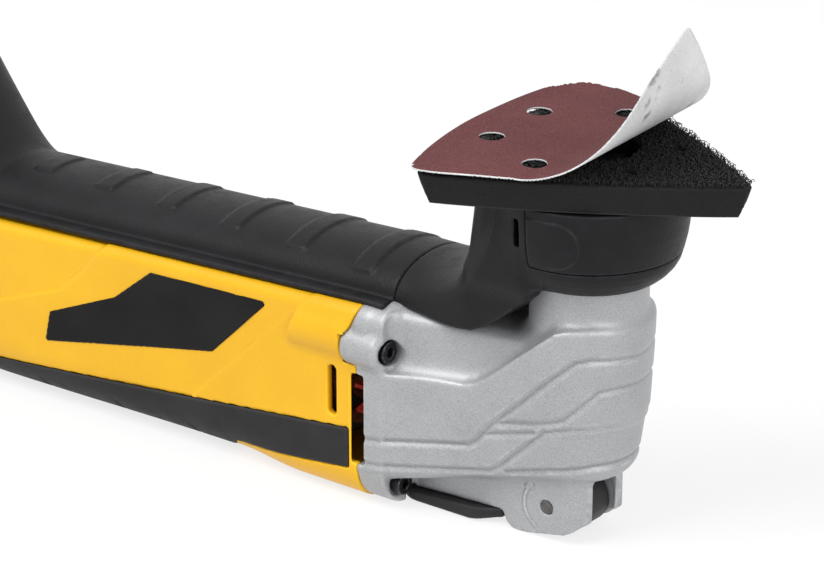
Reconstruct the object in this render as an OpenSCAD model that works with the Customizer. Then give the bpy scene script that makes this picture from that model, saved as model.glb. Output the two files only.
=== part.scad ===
// Oscillating multi tool with a delta sanding pad, lying on its back
// +X points from the rear to the gear head, +Z up, the floor is Z = 0

/* [Body] */
// Length of the moulded body behind the gear head
body_len = 172; // [168:1:180]
// Half width of the body where it meets the gear head
body_front_half_w = 29; // [28.5:0.5:32]
// Half width of the body at its waist
body_waist_half_w = 28; // [27.5:0.5:31]
// Half width of the body near the rear
body_rear_half_w = 29.5; // [28.5:0.5:33]
// Wall of the body halves
body_wall = 2.8; // [2.6:0.1:3.2]
// Corner radius on the lower side
body_low_r = 18; // [16:0.5:19]
// Corner radius at the deck that carries the duct
deck_r = 4; // [3:0.5:6]
// Height of the deck at the gear head
deck_front_z = 64.3; // [63:0.1:66]
// Fall of the deck towards the rear in degrees
deck_slope = 2.4; // [2.2:0.1:2.6]
// Depth of the soft grip laid into the body
grip_depth = 1.5; // [1:0.1:1.6]
// Thickness of the rating plate
plate_t = 0.4; // [0.3:0.1:0.6]
// Length of the rear cap
rear_cap_len = 22; // [20:1:24]

/* [Gear head] */
// Distance from the spindle axis back to the body joint
head_reach = 64; // [63:0.5:66]
// Height of the motor axis
motor_z = 34; // [33.5:0.1:34.5]
// Outer radius of the spindle neck
neck_r = 17.5; // [17:0.1:18]
// Height of the top of the neck
neck_top_z = 92; // [91.5:0.1:93]
// Radius of the nose in plan
nose_r = 21; // [20.5:0.1:22]
// Distance of the nose centre behind the spindle axis
nose_back = 3.5; // [3:0.1:4.5]
// Height of the underside of the wide part
head_low_z = 18; // [17.5:0.1:18]
// Half width of the narrow upper part
shoulder_half_w = 20; // [19:0.5:21]
// Depth of the flange at the body joint
flange_t = 10; // [9.5:0.5:11]
// Side distance of the upper head screws from the middle
screw_hi_y = 25.5; // [25:0.1:26]
// Height of the upper head screws
screw_hi_z = 51.5; // [51:0.1:52]
// Side distance of the lower head screws
screw_lo_y = 21; // [20.5:0.1:21.3]
// Height of the lower head screws
screw_lo_z = 7.9; // [7.7:0.1:8.4]
// Radius of the head screw shank
screw_r = 2; // [1.6:0.1:2]

/* [Clamp] */
// Radius of the lever pin
pin_r = 2.15; // [1.9:0.05:2.3]
// Distance of the lever pin behind the spindle axis
pin_back = 5; // [4.8:0.1:5.2]
// Height of the lever pin
pin_z = 10.5; // [10.4:0.1:10.6]
// Half width of the gap between the ears
gap_half_w = 6; // [5.9:0.1:6.2]
// Half width over the ears
ear_half_w = 13; // [12:0.5:14]
// Smallest radius of the lever cam
cam_r = 7.2; // [7:0.1:7.3]
// Lift of the lever cam
cam_rise = 3; // [2.5:0.1:3]
// Opening angle of the lever
lever_open = 105; // [95:1:105]
// Length of the lever from its pin to the tip
lever_len = 54; // [50:1:56]
// Half width of the lever paddle
paddle_half_w = 16; // [14.5:0.1:16.2]
// Thickness of the lever paddle
paddle_t = 4.6; // [3.8:0.2:4.8]
// Radius of the clamp rod
rod_r = 3; // [2.8:0.1:3.2]
// Radius of the clamp flange above the pad plate
clamp_r = 11; // [10:0.5:12]
// Wire radius of the clamp spring
spring_wire_r = 0.7; // [0.5:0.05:0.8]

/* [Spindle] */
// Radius of the spindle at the fork
spindle_r = 7; // [6.9:0.05:7.1]
// Radius of the spindle at the pad side bearing
spindle_low_r = 6; // [5.8:0.1:6.2]
// Radius of the tool flange
flange_r = 14; // [13:0.5:15]
// Offset of the eccentric pin
ecc = 0.55; // [0.45:0.05:0.6]
// Distance of the eccentric bearing from the spindle axis
ecc_back = 20.5; // [20.2:0.1:20.8]
// Outer radius of the eccentric bearing
ecc_bearing_r = 8; // [7.6:0.1:8.2]
// Swing of the spindle to each side in degrees
swing = 1.6; // [1.2:0.1:1.7]

/* [Sanding pad] */
// Distance from the spindle axis to the middle of a pad side
pad_apothem = 31.6; // [30.6:0.1:32.6]
// Radius of the bulged pad sides
pad_side_r = 360; // [300:10:600]
// Distance from the spindle axis to the blunted corners
pad_corner_r = 54; // [53:0.5:57]
// Gap between the collar and the pad
pad_gap = 2.2; // [1.8:0.1:2.8]
// Thickness of the rigid pad plate
pad_plate_t = 3; // [2.6:0.1:3.2]
// Thickness of the pad foam
pad_foam_t = 6.4; // [6.2:0.1:8]
// Draw in of the pad sides towards the plate
pad_draft = 3.6; // [2:0.1:4]
// Height of the hook layer above the foam
hook_h = 1.6; // [1.2:0.1:2]
// Thickness of the sanding sheet
sheet_t = 0.8; // [0.6:0.1:1]
// Distance from the middle of the sheet to the middle of its sides
sheet_apothem = 35; // [34:0.1:36]
// Radius of the bulged sides of the sheet
sheet_side_r = 170; // [160:5:200]
// Distance from the middle of the sheet to its corners
sheet_corner_r = 55; // [54:0.5:56]
// Shift of the sheet towards the rear
sheet_back = 3.9; // [2.4:0.1:5]
// Shift of the sheet towards the far side
sheet_side = 0.6; // [0:0.1:1]
// Turn of the sheet on the pad in degrees
sheet_turn = 4.4; // [3:0.2:5]
// Place where the sheet leaves the hooks, along the sheet
lift_at = 2.8; // [1:0.2:5]
// Bend radius of the lifted corner
lift_r = 27; // [24:0.5:30]
// Steepest angle of the lifted corner
lift_angle = 76; // [68:1:80]
// How much longer the lifted corner is than the others
lift_long = 0.05; // [0:0.01:0.06]
// How much wider the lifted corner is than the others
lift_wide = 0.2; // [0:0.01:0.24]
// Radius of the dust holes
dust_hole_r = 3.75; // [3:0.05:4]
// Radius of the circle of dust holes
dust_ring_r = 26; // [25.5:0.1:26.3]

/* [Dust extraction] */
// Outer radius of the collar at its top
collar_r = 28; // [27.8:0.1:28.6]
// Outer radius of the collar at its lower edge
collar_low_r = 21; // [20.5:0.5:22]
// Height of the lower edge of the collar
collar_low_z = 82.5; // [82:0.1:83]
// Height of the band between the lower edge of the collar and its front ring
collar_band_h = 9; // [8.5:0.1:9.5]
// Height of the front ring of the collar
ring_h = 17; // [16.5:0.1:17.5]
// Wall of the collar and duct
duct_wall = 2; // [1.8:0.1:2.4]
// Half width of the arched duct
duct_half_w = 20; // [19.5:0.1:20.5]
// Height of the duct above the deck
duct_h = 12.1; // [11.8:0.1:12.6]
// Half width of the foot of the duct
duct_foot_half_w = 25.5; // [24.5:0.1:26]
// Thickness of the foot of the duct
duct_foot_t = 1.6; // [1.2:0.1:2]
// Height of the ribs on the duct
rib_h = 0.9; // [0.6:0.1:1.2]
// Spacing of the ribs
rib_pitch = 27.6; // [27:0.1:27.8]
// Length of each rib along the duct
rib_len = 7.5; // [6:0.5:9]
// Radius of the hose bore
hose_r = 18; // [16:0.5:18.5]
// Depth of the hose bore
hose_depth = 17; // [14:1:18]
// Outer radius of the hose socket
socket_r = 24; // [23.5:0.1:24.3]
// How far the hose socket stands out behind the rear cap
socket_out = 12; // [11:0.5:14]

/* [Motor] */
// Outer radius of the stator stack
stator_r = 24; // [23.6:0.1:24.2]
// Length of the stator stack
stator_len = 40; // [36:1:41]
// Radius of the armature stack
armature_r = 13.8; // [13.4:0.1:13.9]
// Radius of the motor shaft
shaft_r = 4; // [3.8:0.1:4.1]
// Radius of the commutator
commutator_r = 10; // [9.6:0.1:10.2]
// Radius of the fan
fan_r = 23; // [22:0.5:23]
// Number of fan blades
fan_blades = 17; // [13:1:19]

/* [Controls] */
// Travel of the switch slider
slider_travel = 7; // [5:0.5:7]
// Length of the thumb pad of the slider
slider_len = 22; // [20:1:24]
// Half width of the thumb pad of the slider
slider_half_w = 7; // [6:0.5:7.5]
// Radius of the speed dial
dial_r = 11.5; // [11:0.1:11.5]
// Thickness of the speed dial
dial_t = 6; // [5:0.5:6]
// Radius of the cord bore in the gland
cord_r = 3.75; // [3:0.25:4.5]

/* [Fits] */
// Radial clearance of running fits
run = 0.05; // [0.03:0.01:0.08]
// Clearance of parts that are pushed together
fit = 0.1; // [0.05:0.05:0.15]
// Air between parts that pass each other
air = 0.4; // [0.3:0.05:0.4]

/* [Hidden] */
$fn = 64;
joint_x = -head_reach;
rear_x = joint_x - body_len;
cap_x = rear_x - rear_cap_len;
rear_reach = -cap_x + socket_out;
spindle_x = (rear_reach - pad_corner_r) / 2;
pin_x = -pin_back;
waist_x = joint_x - 66;
wide_x = joint_x - 150;
collar_seam_z = collar_low_z + collar_band_h;
collar_top_z = collar_seam_z + ring_h;
pad_low_z = collar_top_z + pad_gap;
pad_top_z = pad_low_z + pad_plate_t + pad_foam_t;
sheet_z = pad_top_z + hook_h + 0.1;
seam_x = joint_x + 7.5;
rod_low_z = pin_z + cam_r + 0.45;
button_t = 3;
spindle_low_z = 22.5;
spring_top_z = 34;
fork_gap = ecc_bearing_r + ecc + ecc_back * sin(swing) + 0.2;
core_x = joint_x - 22 - stator_len;
core_end = core_x + stator_len;
brush_x = core_x - 15.5;
rear_bearing_x = core_x - 30;
slider_x = joint_x - 34;
rear_room = rear_bearing_x - 26 - rear_x;
switch_len = rear_room * 10 / 27;
switch_x = rear_bearing_x - 20 - switch_len;
board_len = rear_room * 14 / 27;
board_x = rear_x + 6;
dial_x = cap_x + 8;
dial_z = 14.5;
gland_z = 36;
flare_x = cap_x + 36;
flare_len = 40;
socket_z = deck_z(rear_x) + 7 * fit + socket_r;
shell_screws_at = [[joint_x - 10.5, 57], [rear_bearing_x - 15.5, 51], [rear_bearing_x - 50, 49],
  [rear_x + 6, 9.5]];

// Colours
yellow = [0.95, 0.70, 0.10];
black = [0.12, 0.12, 0.13];
silver = [0.68, 0.69, 0.70];
steel = [0.55, 0.56, 0.58];
copper = [0.72, 0.40, 0.20];

// Height of the deck above the floor at a place along the body
function deck_z(x) = deck_front_z + min(0, x - joint_x) * tan(deck_slope);

// Smooth step between 0 and 1
function ease(t) = let (u = max(0, min(1, t))) u * u * (3 - 2 * u);

// Blend of two values
function mix(a, b, t) = a + (b - a) * t;

// Points of an arc, oval where its height v is given
function arc(cx, cy, r, a0, a1, n, v) = let (q = is_undef(v) ? r : v)
  [for (i = [0:n]) let (a = a0 + (a1 - a0) * i / n) [cx + r * cos(a), cy + q * sin(a)]];

// Rounded section: half width, bottom, top, lower and upper corner radius, width w of an oval upper corner
function section(a, z0, z1, rb, rt, w) =
  let (b = min(rb, a - 0.2, (z1 - z0) / 2 - 0.1))
  let (t = is_undef(w) ? min(rt, a - 0.2, (z1 - z0) / 2 - 0.1) : min(rt, z1 - z0 - b - 0.1))
  let (y = is_undef(w) ? t : min(w, a - 0.2))
  concat(arc(a - b, z0 + b, b, -90, 0, 6), arc(a - y, z1 - t, y, 0, 90, 6, t),
         arc(-a + y, z1 - t, y, 90, 180, 6, t), arc(-a + b, z0 + b, b, 180, 270, 6));

// Solid through rounded sections listed from the rear to the front
module loft(stations) {
  rings = [for (s = stations) section(s[1], s[2], s[3], s[4], s[5], s[6])];
  n = len(rings[0]);
  m = len(rings);
  pts = [for (i = [0:m - 1]) for (p = rings[i]) [stations[i][0], p[0], p[1]]];
  sides = [for (i = [0:m - 2]) for (j = [0:n - 1]) for (h = [0:1])
    let (k = (j + 1) % n)
    h == 0 ? [i * n + j, (i + 1) * n + j, (i + 1) * n + k] : [i * n + j, (i + 1) * n + k, i * n + k]];
  ends = [[for (j = [0:n - 1]) j], [for (j = [n - 1:-1:0]) (m - 1) * n + j]];
  polyhedron(points = pts, faces = concat(sides, ends), convexity = 6);
}

// Half width of the body at a place along it
function body_half(x) = x < wide_x
  ? mix(body_rear_half_w, body_rear_half_w - 1.5, ease((wide_x - x) / 22))
  : x < waist_x ? mix(body_rear_half_w, body_waist_half_w, ease((x - wide_x) / (waist_x - wide_x)))
  : mix(body_waist_half_w, body_front_half_w, ease((x - waist_x) / (joint_x - waist_x)));

// Lower edge radius of the body, tighter towards the gear head
function low_r(x) = mix(body_low_r - 5, body_low_r, ease((joint_x - 26 - x) / 28));

// Body form drawn in by d, longer by e at both ends
module body_form(d = 0, e = 0) {
  xs = [rear_x, rear_x + 10, wide_x + 16, wide_x + 42, waist_x - 20,
        for (i = [0:6]) mix(waist_x, joint_x, i / 6)];
  loft([for (i = [0:len(xs) - 1])
    let (x = xs[i])
    let (px = i == 0 ? x - e : i == len(xs) - 1 ? x + e : x)
    [px, body_half(x) - d, d, deck_z(px) - d, low_r(x) - d, max(1, deck_r - d)]]);
}

// Cylinder along X between two places
module xcyl(x0, x1, r, y = 0, z = motor_z) {
  translate([x0, y, z]) rotate([0, 90, 0]) cylinder(h = x1 - x0, r = r);
}

// Cylinder along Y between two places
module ycyl(y0, y1, r, x, z) {
  translate([x, y0, z]) rotate([-90, 0, 0]) cylinder(h = y1 - y0, r = r);
}

// Box between two corners
module box(p, q) {
  translate(p) cube(q - p);
}

// Plate from an outline in X and Z, between two places in Y
module slab(y0, y1) {
  translate([0, y1, 0]) rotate([90, 0, 0]) linear_extrude(y1 - y0) children();
}

// Same thing on both sides of the tool
module both() {
  children();
  mirror([0, 1, 0]) children();
}

// Coil spring along Z as one tube
module coil(r, w, h, turns) {
  n = 14;
  k = 6;
  steps = round(turns * n);
  pts = [for (i = [0:steps]) for (j = [0:k - 1])
    let (a = 360 * i / n, b = 360 * j / k)
    [(r + w * cos(b)) * cos(a), (r + w * cos(b)) * sin(a), w + (h - 2 * w) * i / steps + w * sin(b)]];
  sides = [for (i = [0:steps - 1]) for (j = [0:k - 1]) for (s = [0:1])
    let (q = (j + 1) % k)
    s == 0 ? [i * k + j, (i + 1) * k + j, (i + 1) * k + q] : [i * k + j, (i + 1) * k + q, i * k + q]];
  ends = [[for (j = [k - 1:-1:0]) j], [for (j = [0:k - 1]) steps * k + j]];
  polyhedron(points = pts, faces = concat([for (f = sides) [f[2], f[1], f[0]]], ends), convexity = 8);
}

// Ball bearing ring along Z with shield recesses
module bearing(r0, r1, h) {
  m = (r0 + r1) / 2;
  g = (r1 - r0) * 0.18;
  difference() {
    cylinder(h = h, r = r1);
    translate([0, 0, -1]) cylinder(h = h + 2, r = r0);
    for (z = [-0.4, h - 0.4]) translate([0, 0, z]) difference() {
      cylinder(h = 0.8, r = m + g);
      translate([0, 0, -1]) cylinder(h = 3, r = m - g);
    }
  }
}

// Ear and lower wall outline beside the lever, in X and Z
module ear_outline() {
  polygon([[joint_x + 7, head_low_z + 4], [joint_x + 7, paddle_t - 0.7], [pin_x - 16, paddle_t + 0.7],
    [pin_x - 15.3, 3.3], [pin_x - 14.2, 1.5], [pin_x - 12.6, 0.5], [pin_x - 10.4, 0.1], [pin_x - 7, 0.4],
    [pin_x, 1.8], [pin_x + 6, 3], [pin_x + 8.6, 4.2], [pin_x + 10.6, 6.2], [pin_x + 11.6, 9],
    [pin_x + 12, 12], [pin_x + 12, head_low_z + 4]]);
}

// Plan of an ear with its front corner rounded
module ear_plan() {
  polygon(concat([[joint_x + 7, gap_half_w], [joint_x + 7, ear_half_w]],
    arc(pin_x + 6, ear_half_w - 6, 6, 90, 0, 6), [[pin_x + 12, gap_half_w]]));
}

// Half width of the wide part of the head along X
function head_half(x) = x < -nose_back
  ? mix(nose_r, body_front_half_w - 1.8, pow(min(1, (-nose_back - x) / (head_reach - nose_back - 5)), 1.7))
  : sqrt(max(4, nose_r * nose_r - pow(x + nose_back, 2)));

// Height of the ledge round the wide part of the head
function ledge_z(x) = x < -23 ? mix(43, 49, (x + head_reach - 4) / 37)
  : x < 4 ? mix(49, 71, ease((x + 23) / 27)) : 71;

// Die cast gear head: neck, nose, flange, screw bosses and lever ears
module gear_head() color(silver) difference() {
  union() {
    loft([for (x = [joint_x + 4, -50, -38, -28, -18, -10, -nose_back, 4, 9, 13, 15.5, 17.2])
      [x, head_half(x), head_low_z, ledge_z(x), 7, 4]]);
    loft([for (x = [joint_x + 0.1, -40, -20, -4])
      [x, mix(shoulder_half_w, neck_r - 1, ease((x + 40) / 36)), 38, deck_front_z - fit, 2, 5]]);
    loft([for (x = [joint_x + 0.1, joint_x + flange_t])
      [x, body_front_half_w - 0.2, 0.3, deck_front_z - fit, low_r(joint_x), deck_r + 1]]);
    translate([0, 0, 45]) cylinder(h = neck_top_z - 45, r = neck_r);
    both() intersection() {
      slab(gap_half_w, ear_half_w) ear_outline();
      translate([0, 0, -1]) linear_extrude(40) ear_plan();
    }
    both() xcyl(joint_x - 5, joint_x + 10, 6.5, screw_hi_y, screw_hi_z);
  }
  // rear chamber for the fan and the bearing plate
  xcyl(joint_x - 1, joint_x + 16, 23.6);
  xcyl(joint_x - 6, joint_x + 0.1, 25.5);
  xcyl(joint_x + 15, joint_x + 28, 14.5);
  // fork chamber
  box([joint_x + 26, -16.5, 23.5], [-13, 16.5, 46]);
  box([-14, -16.5, 29], [0, 16.5, 46]);
  translate([0, 0, 29]) cylinder(h = 17, r = 14);
  // spindle bore and seats
  translate([0, 0, 40]) cylinder(h = 60, r = spindle_r + 1.5);
  translate([0, 0, neck_top_z - 13]) cylinder(h = 9.5, r = 14 + run);
  translate([0, 0, neck_top_z - 3.6]) cylinder(h = 10, r = 15);
  translate([0, 0, spindle_low_z]) cylinder(h = 7, r = 12 + run);
  translate([0, 0, head_low_z - 1]) cylinder(h = 6, r = 5.6);
  // room for the cam and the lever
  box([joint_x - 1, -paddle_half_w - 0.8, -1],
      [joint_x + flange_t + 0.5, paddle_half_w + 0.8, paddle_t + 2.2]);
  ycyl(-gap_half_w, gap_half_w, cam_r + cam_rise + 0.7, pin_x, pin_z);
  ycyl(-ear_half_w - 1, ear_half_w + 1, pin_r + run, pin_x, pin_z);
  // screw holes and their seats
  both() {
    xcyl(joint_x - 10, joint_x + 20, screw_r + 0.2, screw_hi_y, screw_hi_z);
    xcyl(joint_x + 9, joint_x + 20, 4.2, screw_hi_y, screw_hi_z);
    xcyl(joint_x - 2, joint_x + 20, screw_r + 0.2, screw_lo_y, screw_lo_z);
    xcyl(joint_x + flange_t, joint_x + 16, 4.2, screw_lo_y, screw_lo_z);
    // vent gap
    box([joint_x - 1, 19, 14], [joint_x + 2.6, 40, 43]);
  }
}

// Four socket screws that join the gear head to the body
module head_screws() color(black) both() {
  socket_screw(joint_x + 9, screw_hi_y, screw_hi_z);
  socket_screw(joint_x + flange_t, screw_lo_y, screw_lo_z);
}

// Socket screw along X with its head seat at x
module socket_screw(x, y, z) {
  difference() {
    union() {
      xcyl(x - 26, x + 0.5, screw_r, y, z);
      xcyl(x, x + 3.6, 3.4, y, z);
    }
    translate([x + 1.4, y, z]) rotate([0, 90, 0]) cylinder(h = 3, r = 1.7, $fn = 6);
  }
}

// Cam radius at an angle from +X towards +Z
function cam_at(a) = a > 90 ? cam_r : a > 90 - lever_open ? cam_r + cam_rise * (90 - a) / lever_open
  : cam_r + cam_rise;

// Quick release lever with its cam
module lever() color(black) difference() {
  plan = [[-lever_len - 1, paddle_half_w - 1.8], [-lever_len + 5, paddle_half_w], [-25, paddle_half_w],
          [-16, paddle_half_w - 3.6]];
  union() {
    slab(-gap_half_w + air, gap_half_w - air) translate([pin_x, pin_z])
      polygon([for (a = [200:-6:-100]) cam_at(a) * [cos(a), sin(a)]]);
    box([pin_x - 22, -gap_half_w + air, 0.8], [pin_x - 1, gap_half_w - air, 8.2]);
    intersection() {
      slab(-paddle_half_w, paddle_half_w)
        polygon([[pin_x - 16.5, 2.2], [pin_x - 16.5, paddle_t + 0.4], [pin_x - lever_len + 3, paddle_t - 0.9],
                 [pin_x - lever_len, paddle_t - 1.7], [pin_x - lever_len + 1.5, 1], [pin_x - lever_len + 6, 0.35],
                 [pin_x - 26.5, 0.35]]);
      // plan of the paddle, narrower towards the ears
      translate([pin_x, 0, -1]) linear_extrude(12)
        polygon(concat([for (p = plan) [p[0], -p[1]]], [for (i = [3:-1:0]) plan[i]]));
    }
  }
  ycyl(-20, 20, pin_r + run, pin_x, pin_z);
  // finger scoop under the tip
  ycyl(-30, 30, 5, pin_x - lever_len - 2.6, 6.2);
}

// Steel pin of the lever
module lever_pin() color(steel) ycyl(-ear_half_w, ear_half_w, pin_r, pin_x, pin_z);

// Area of the soft grip in X and Z
module grip_area(g = 0) {
  polygon([[joint_x - 3 + g, 25 + g], [joint_x - 67, 18 + g], [joint_x - 147, 10.5 + g],
           [rear_x - 2, 8 + g], [rear_x - 2, -3], [joint_x - 60 + g, -3],
           [joint_x - 52, 6 - g], [joint_x - 3 + g, 12 - g]]);
}

// Cross plate inside the body that carries an inner part
module cradle(x, t = 3) {
  box([x - t / 2, -40, -5], [x + t / 2, 40, 80]);
}

// Cross plates and screw pillars inside the body, before they are trimmed to it
module body_inside() {
  difference() {
    union() {
      cradle(core_x + 6);
      cradle(core_end - 6);
      cradle(rear_bearing_x - 1);
    }
    xcyl(rear_bearing_x - 20, core_end, stator_r + run);
    box([rear_x, -5, 0], [joint_x, 5, 9.2]);
  }
  difference() {
    union() {
      cradle(switch_x + switch_len - 2);
      cradle(switch_x + 2);
    }
    box([rear_x, -10 - fit, 10 - fit], [rear_bearing_x - 12, 10 + fit, 34 + fit]);
    box([rear_x, -5, 0], [joint_x, 5, 11]);
  }
  difference() {
    cradle(board_x + board_len * 0.57);
    box([rear_x, -17, 12], [rear_x + 40, 17, 48]);
    box([rear_x, -20 - fit, 20 - fit], [rear_x + 40, 20 + fit, 21.6 + fit]);
  }
  // floor of the slider pocket
  box([slider_x - 17, -11, body_wall - 0.2], [slider_x + slider_travel + 17, 11, 4.6]);
  for (p = shell_screws_at) ycyl(-40, 40, 4, p[0], p[1]);
  both() xcyl(joint_x - 26, joint_x, 5, screw_lo_y, screw_lo_z);
}

// Both body halves in one, before they are parted
module body_blank() {
  difference() {
    union() {
      difference() {
        body_form(0, 0);
        body_form(body_wall, 5);
      }
      intersection() {
        body_inside();
        body_form(body_wall - 0.2, 0);
      }
      intersection() {
        difference() {
          both() xcyl(joint_x - 26, joint_x - 5 - fit, 6.5, screw_hi_y, screw_hi_z);
          xcyl(core_x, core_end + 1, stator_r + run);
        }
        body_form(-0.8, 0);
      }
    }
    // bosses of the gear head and their screws
    both() {
      xcyl(joint_x - 5 - fit, joint_x + 2, 6.5 + fit, screw_hi_y, screw_hi_z);
      xcyl(joint_x - 40, joint_x, screw_r + run, screw_hi_y, screw_hi_z);
      xcyl(joint_x - 40, joint_x + 1, screw_r + run, screw_lo_y, screw_lo_z);
      // vent slot and vent gap
      box([joint_x - 11, 20, 27.7], [joint_x - 7.6, 40, 43.7]);
      box([joint_x - 2, 19, 14], [joint_x + 1, 40, 43]);
      // air intake at the rear
      for (i = [0:3]) box([rear_x + 8 + 5 * i, 20, 26], [rear_x + 10.4 + 5 * i, 40, 44]);
    }
    // fan room
    xcyl(joint_x - 8, joint_x + 1, fan_r + 2.2);
    // pocket and slot of the slider
    box([slider_x - slider_len / 2 - air, -slider_half_w - air, -1],
        [slider_x + slider_len / 2 + slider_travel + air, slider_half_w + air, 2.6]);
    box([slider_x - 3 - air, -2.4 - air, 0], [slider_x + 3 + slider_travel + air, 2.4 + air, 6]);
    // shell screws
    for (p = shell_screws_at) {
      ycyl(-14, 16, 1.5 + run, p[0], p[1]);
      ycyl(15, 40, 3.7, p[0], p[1]);
    }
    // bed of the soft grip
    intersection() {
      slab(-40, 40) grip_area();
      difference() {
        body_form(-1, 1);
        body_form(grip_depth, 3);
      }
    }
  }
}

// Body half at the left hand side in use
module left_shell() color(yellow) intersection() {
  body_blank();
  box([rear_x - 5, -50, -5], [joint_x + 5, 0, 90]);
}

// Body half at the right hand side in use
module right_shell() color(yellow) intersection() {
  body_blank();
  box([rear_x - 5, 0, -5], [joint_x + 5, 50, 90]);
}

// Soft grip of both halves before it is parted
module grip_blank() {
  difference() {
    intersection() {
      slab(-40, 40) grip_area(-0.1);
      difference() {
        body_form(0, 0);
        body_form(grip_depth, 3);
      }
    }
    for (i = [0:3]) translate([joint_x - 70 - 31 * i, 0, 0]) rotate([0, 45, 0])
      cube([1.4, 80, 1.4], center = true);
    for (p = shell_screws_at) ycyl(15, 40, 3.7, p[0], p[1]);
  }
}

// Soft grip on the left half
module left_grip_strip() color(black) intersection() {
  grip_blank();
  box([rear_x - 5, -50, -5], [joint_x + 5, 0, 90]);
}

// Soft grip on the right half
module right_grip_strip() color(black) intersection() {
  grip_blank();
  box([rear_x - 5, 0, -5], [joint_x + 5, 50, 90]);
}

// Bare rating plate on the left half
module rating_plate() color(black) intersection() {
  difference() {
    body_form(-plate_t, 0);
    body_form(0, 1);
  }
  slab(-40, -15) translate([joint_x, 0]) polygon([[-82, 55.6], [-34.4, 57.4], [-57.4, 35.5], [-126.5, 22.2],
                                                  [-124.2, 32.7], [-97, 43.9]]);
}

// Screws of the body halves
module shell_screws() color(steel) for (p = shell_screws_at) difference() {
  union() {
    ycyl(-12, 15.3, 1.5, p[0], p[1]);
    ycyl(15, 17.4, 3.4, p[0], p[1]);
  }
  translate([p[0], 16.2, p[1]]) rotate([-90, 0, 0]) cylinder(h = 3, r = 1.6, $fn = 6);
}

// Black cap that closes the rear
module rear_cap() color(black) difference() {
  union() {
    difference() {
      cap_form(0, 0);
      translate([2.6, 0, 0]) cap_form(2.6, 4);
    }
    // bearings of the speed dial
    both() intersection() {
      box([cap_x + 1, dial_t / 2 + air, dial_z - 10], [dial_x + 5, dial_t / 2 + air + 3, dial_z + 5]);
      cap_form(1, 0);
    }
  }
  box([cap_x - 5, -dial_t / 2 - air, dial_z - dial_r - 0.8],
      [dial_x + dial_r, dial_t / 2 + air, dial_z + dial_r + 0.8]);
  ycyl(-dial_t / 2 - 8, dial_t / 2 + 8, 2 + run, dial_x, dial_z);
  xcyl(cap_x - 5, cap_x + 10, 6.5 + fit, 0, gland_z);
}

// Outer form of the rear cap drawn in by d
module cap_form(d, e) {
  h = body_half(rear_x);
  t = deck_z(rear_x);
  loft([[cap_x, h - 6 - d, 5 + d, t - 5 - d, 15 - d, 9 - d],
        [cap_x + 3, h - 2.8 - d, 2 + d, t - 2.6 - d, 17 - d, 7 - d],
        [cap_x + 8, h - 1 - d, 0.8 + d, t - 1.6 - d, 17 - d, 5 - d],
        [rear_x - fit + e, h - d, 0.4 + d, t - 0.4 - d, 17.6 - d, 4.4 - d]]);
}

// Gland for the cord, with its bore
module cord_gland() color(black) difference() {
  union() {
    xcyl(cap_x - 4, cap_x + 9, 6.5, 0, gland_z);
    xcyl(cap_x + 2.7, cap_x + 5, 9, 0, gland_z);
  }
  xcyl(cap_x - 5, cap_x + 10, cord_r, 0, gland_z);
}

// Speed dial with its axle
module speed_dial() color(black) difference() {
  union() {
    ycyl(-dial_t / 2, dial_t / 2, dial_r, dial_x, dial_z);
    ycyl(-dial_t / 2 - 3, dial_t / 2 + 3, 2, dial_x, dial_z);
  }
  for (i = [0:35]) translate([dial_x, 0, dial_z]) rotate([0, 10 * i, 0]) translate([dial_r, 0, 0])
    rotate([0, 45, 0]) cube([0.7, 30, 0.7], center = true);
}

// Share of the way from the duct to the round hose socket
function flare(x) = let (t = (flare_x - x) / flare_len) t < 0.5 ? ease(t) : min(1, 1.5 * t - 0.25);

// Duct form drawn in by d, from the collar seam to the hose socket
module duct_form(d, e = 0) {
  xs = [cap_x - socket_out, cap_x - 3, for (i = [0:9]) flare_x - flare_len * (10 - i) / 12, flare_x + 4,
        flare_x + 60, joint_x, seam_x];
  loft([for (i = [0:len(xs) - 1])
    let (x = xs[i])
    let (s = flare(x))
    let (px = i == 0 ? x - e : i == len(xs) - 1 ? x + e : x)
    let (low = deck_z(x) + fit)
    [px, mix(duct_half_w, socket_r, s) - d, max(low, mix(low, socket_z - socket_r, s)) + d,
     mix(deck_z(x) + duct_h, socket_z + socket_r, s) - d, mix(1.2, socket_r - max(0, d), s),
     mix(duct_h - 1.4, socket_r, s) - d, mix(duct_half_w, socket_r, s) - d]]);
}

// Ribbed duct and hose adapter in one, before they are parted
module duct_and_adapter() difference() {
  union() {
    duct_form(0);
    loft([for (x = [rear_x + 4, joint_x, seam_x])
      [x, duct_foot_half_w, deck_z(x) + fit, deck_z(x) + fit + duct_foot_t, 0.3, 0.7]]);
    intersection() {
      duct_form(-rib_h);
      for (i = [0:5]) let (x = joint_x - 10.3 - rib_pitch * i, w = 17.5 - 1.9 * i)
        box([x, -w, deck_z(x) + 3], [x + rib_len, w, 100]);
    }
  }
  intersection() {
    duct_form(duct_wall, 5);
    box([cap_x - socket_out + hose_depth - 1, -40, 40], [0, 40, 140]);
  }
  xcyl(cap_x - socket_out - 2, cap_x - socket_out + hose_depth, hose_r, 0, socket_z);
}

// Ribbed duct along the underside of the body
module dust_duct() color(black) intersection() {
  duct_and_adapter();
  box([flare_x, -40, 40], [0, 40, 140]);
}

// Flared adapter for the hose, welded to the rear end of the duct
module hose_adapter() color(black) intersection() {
  duct_and_adapter();
  box([cap_x - socket_out - 5, -40, 40], [flare_x, 40, 140]);
}

// Plan of the chimney behind the neck
module chimney_plan(d) {
  union() {
    circle(r = collar_r - 1.4 - d);
    translate([-14.7, 0]) square([9.6, 2 * (24.5 - d)], center = true);
    for (s = [-1, 1]) translate([-19.5, s * 15]) circle(r = 9.5 - d);
    translate([-24.2 + d / 2, 0]) square([9.6 - d, 30], center = true);
  }
}

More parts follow.
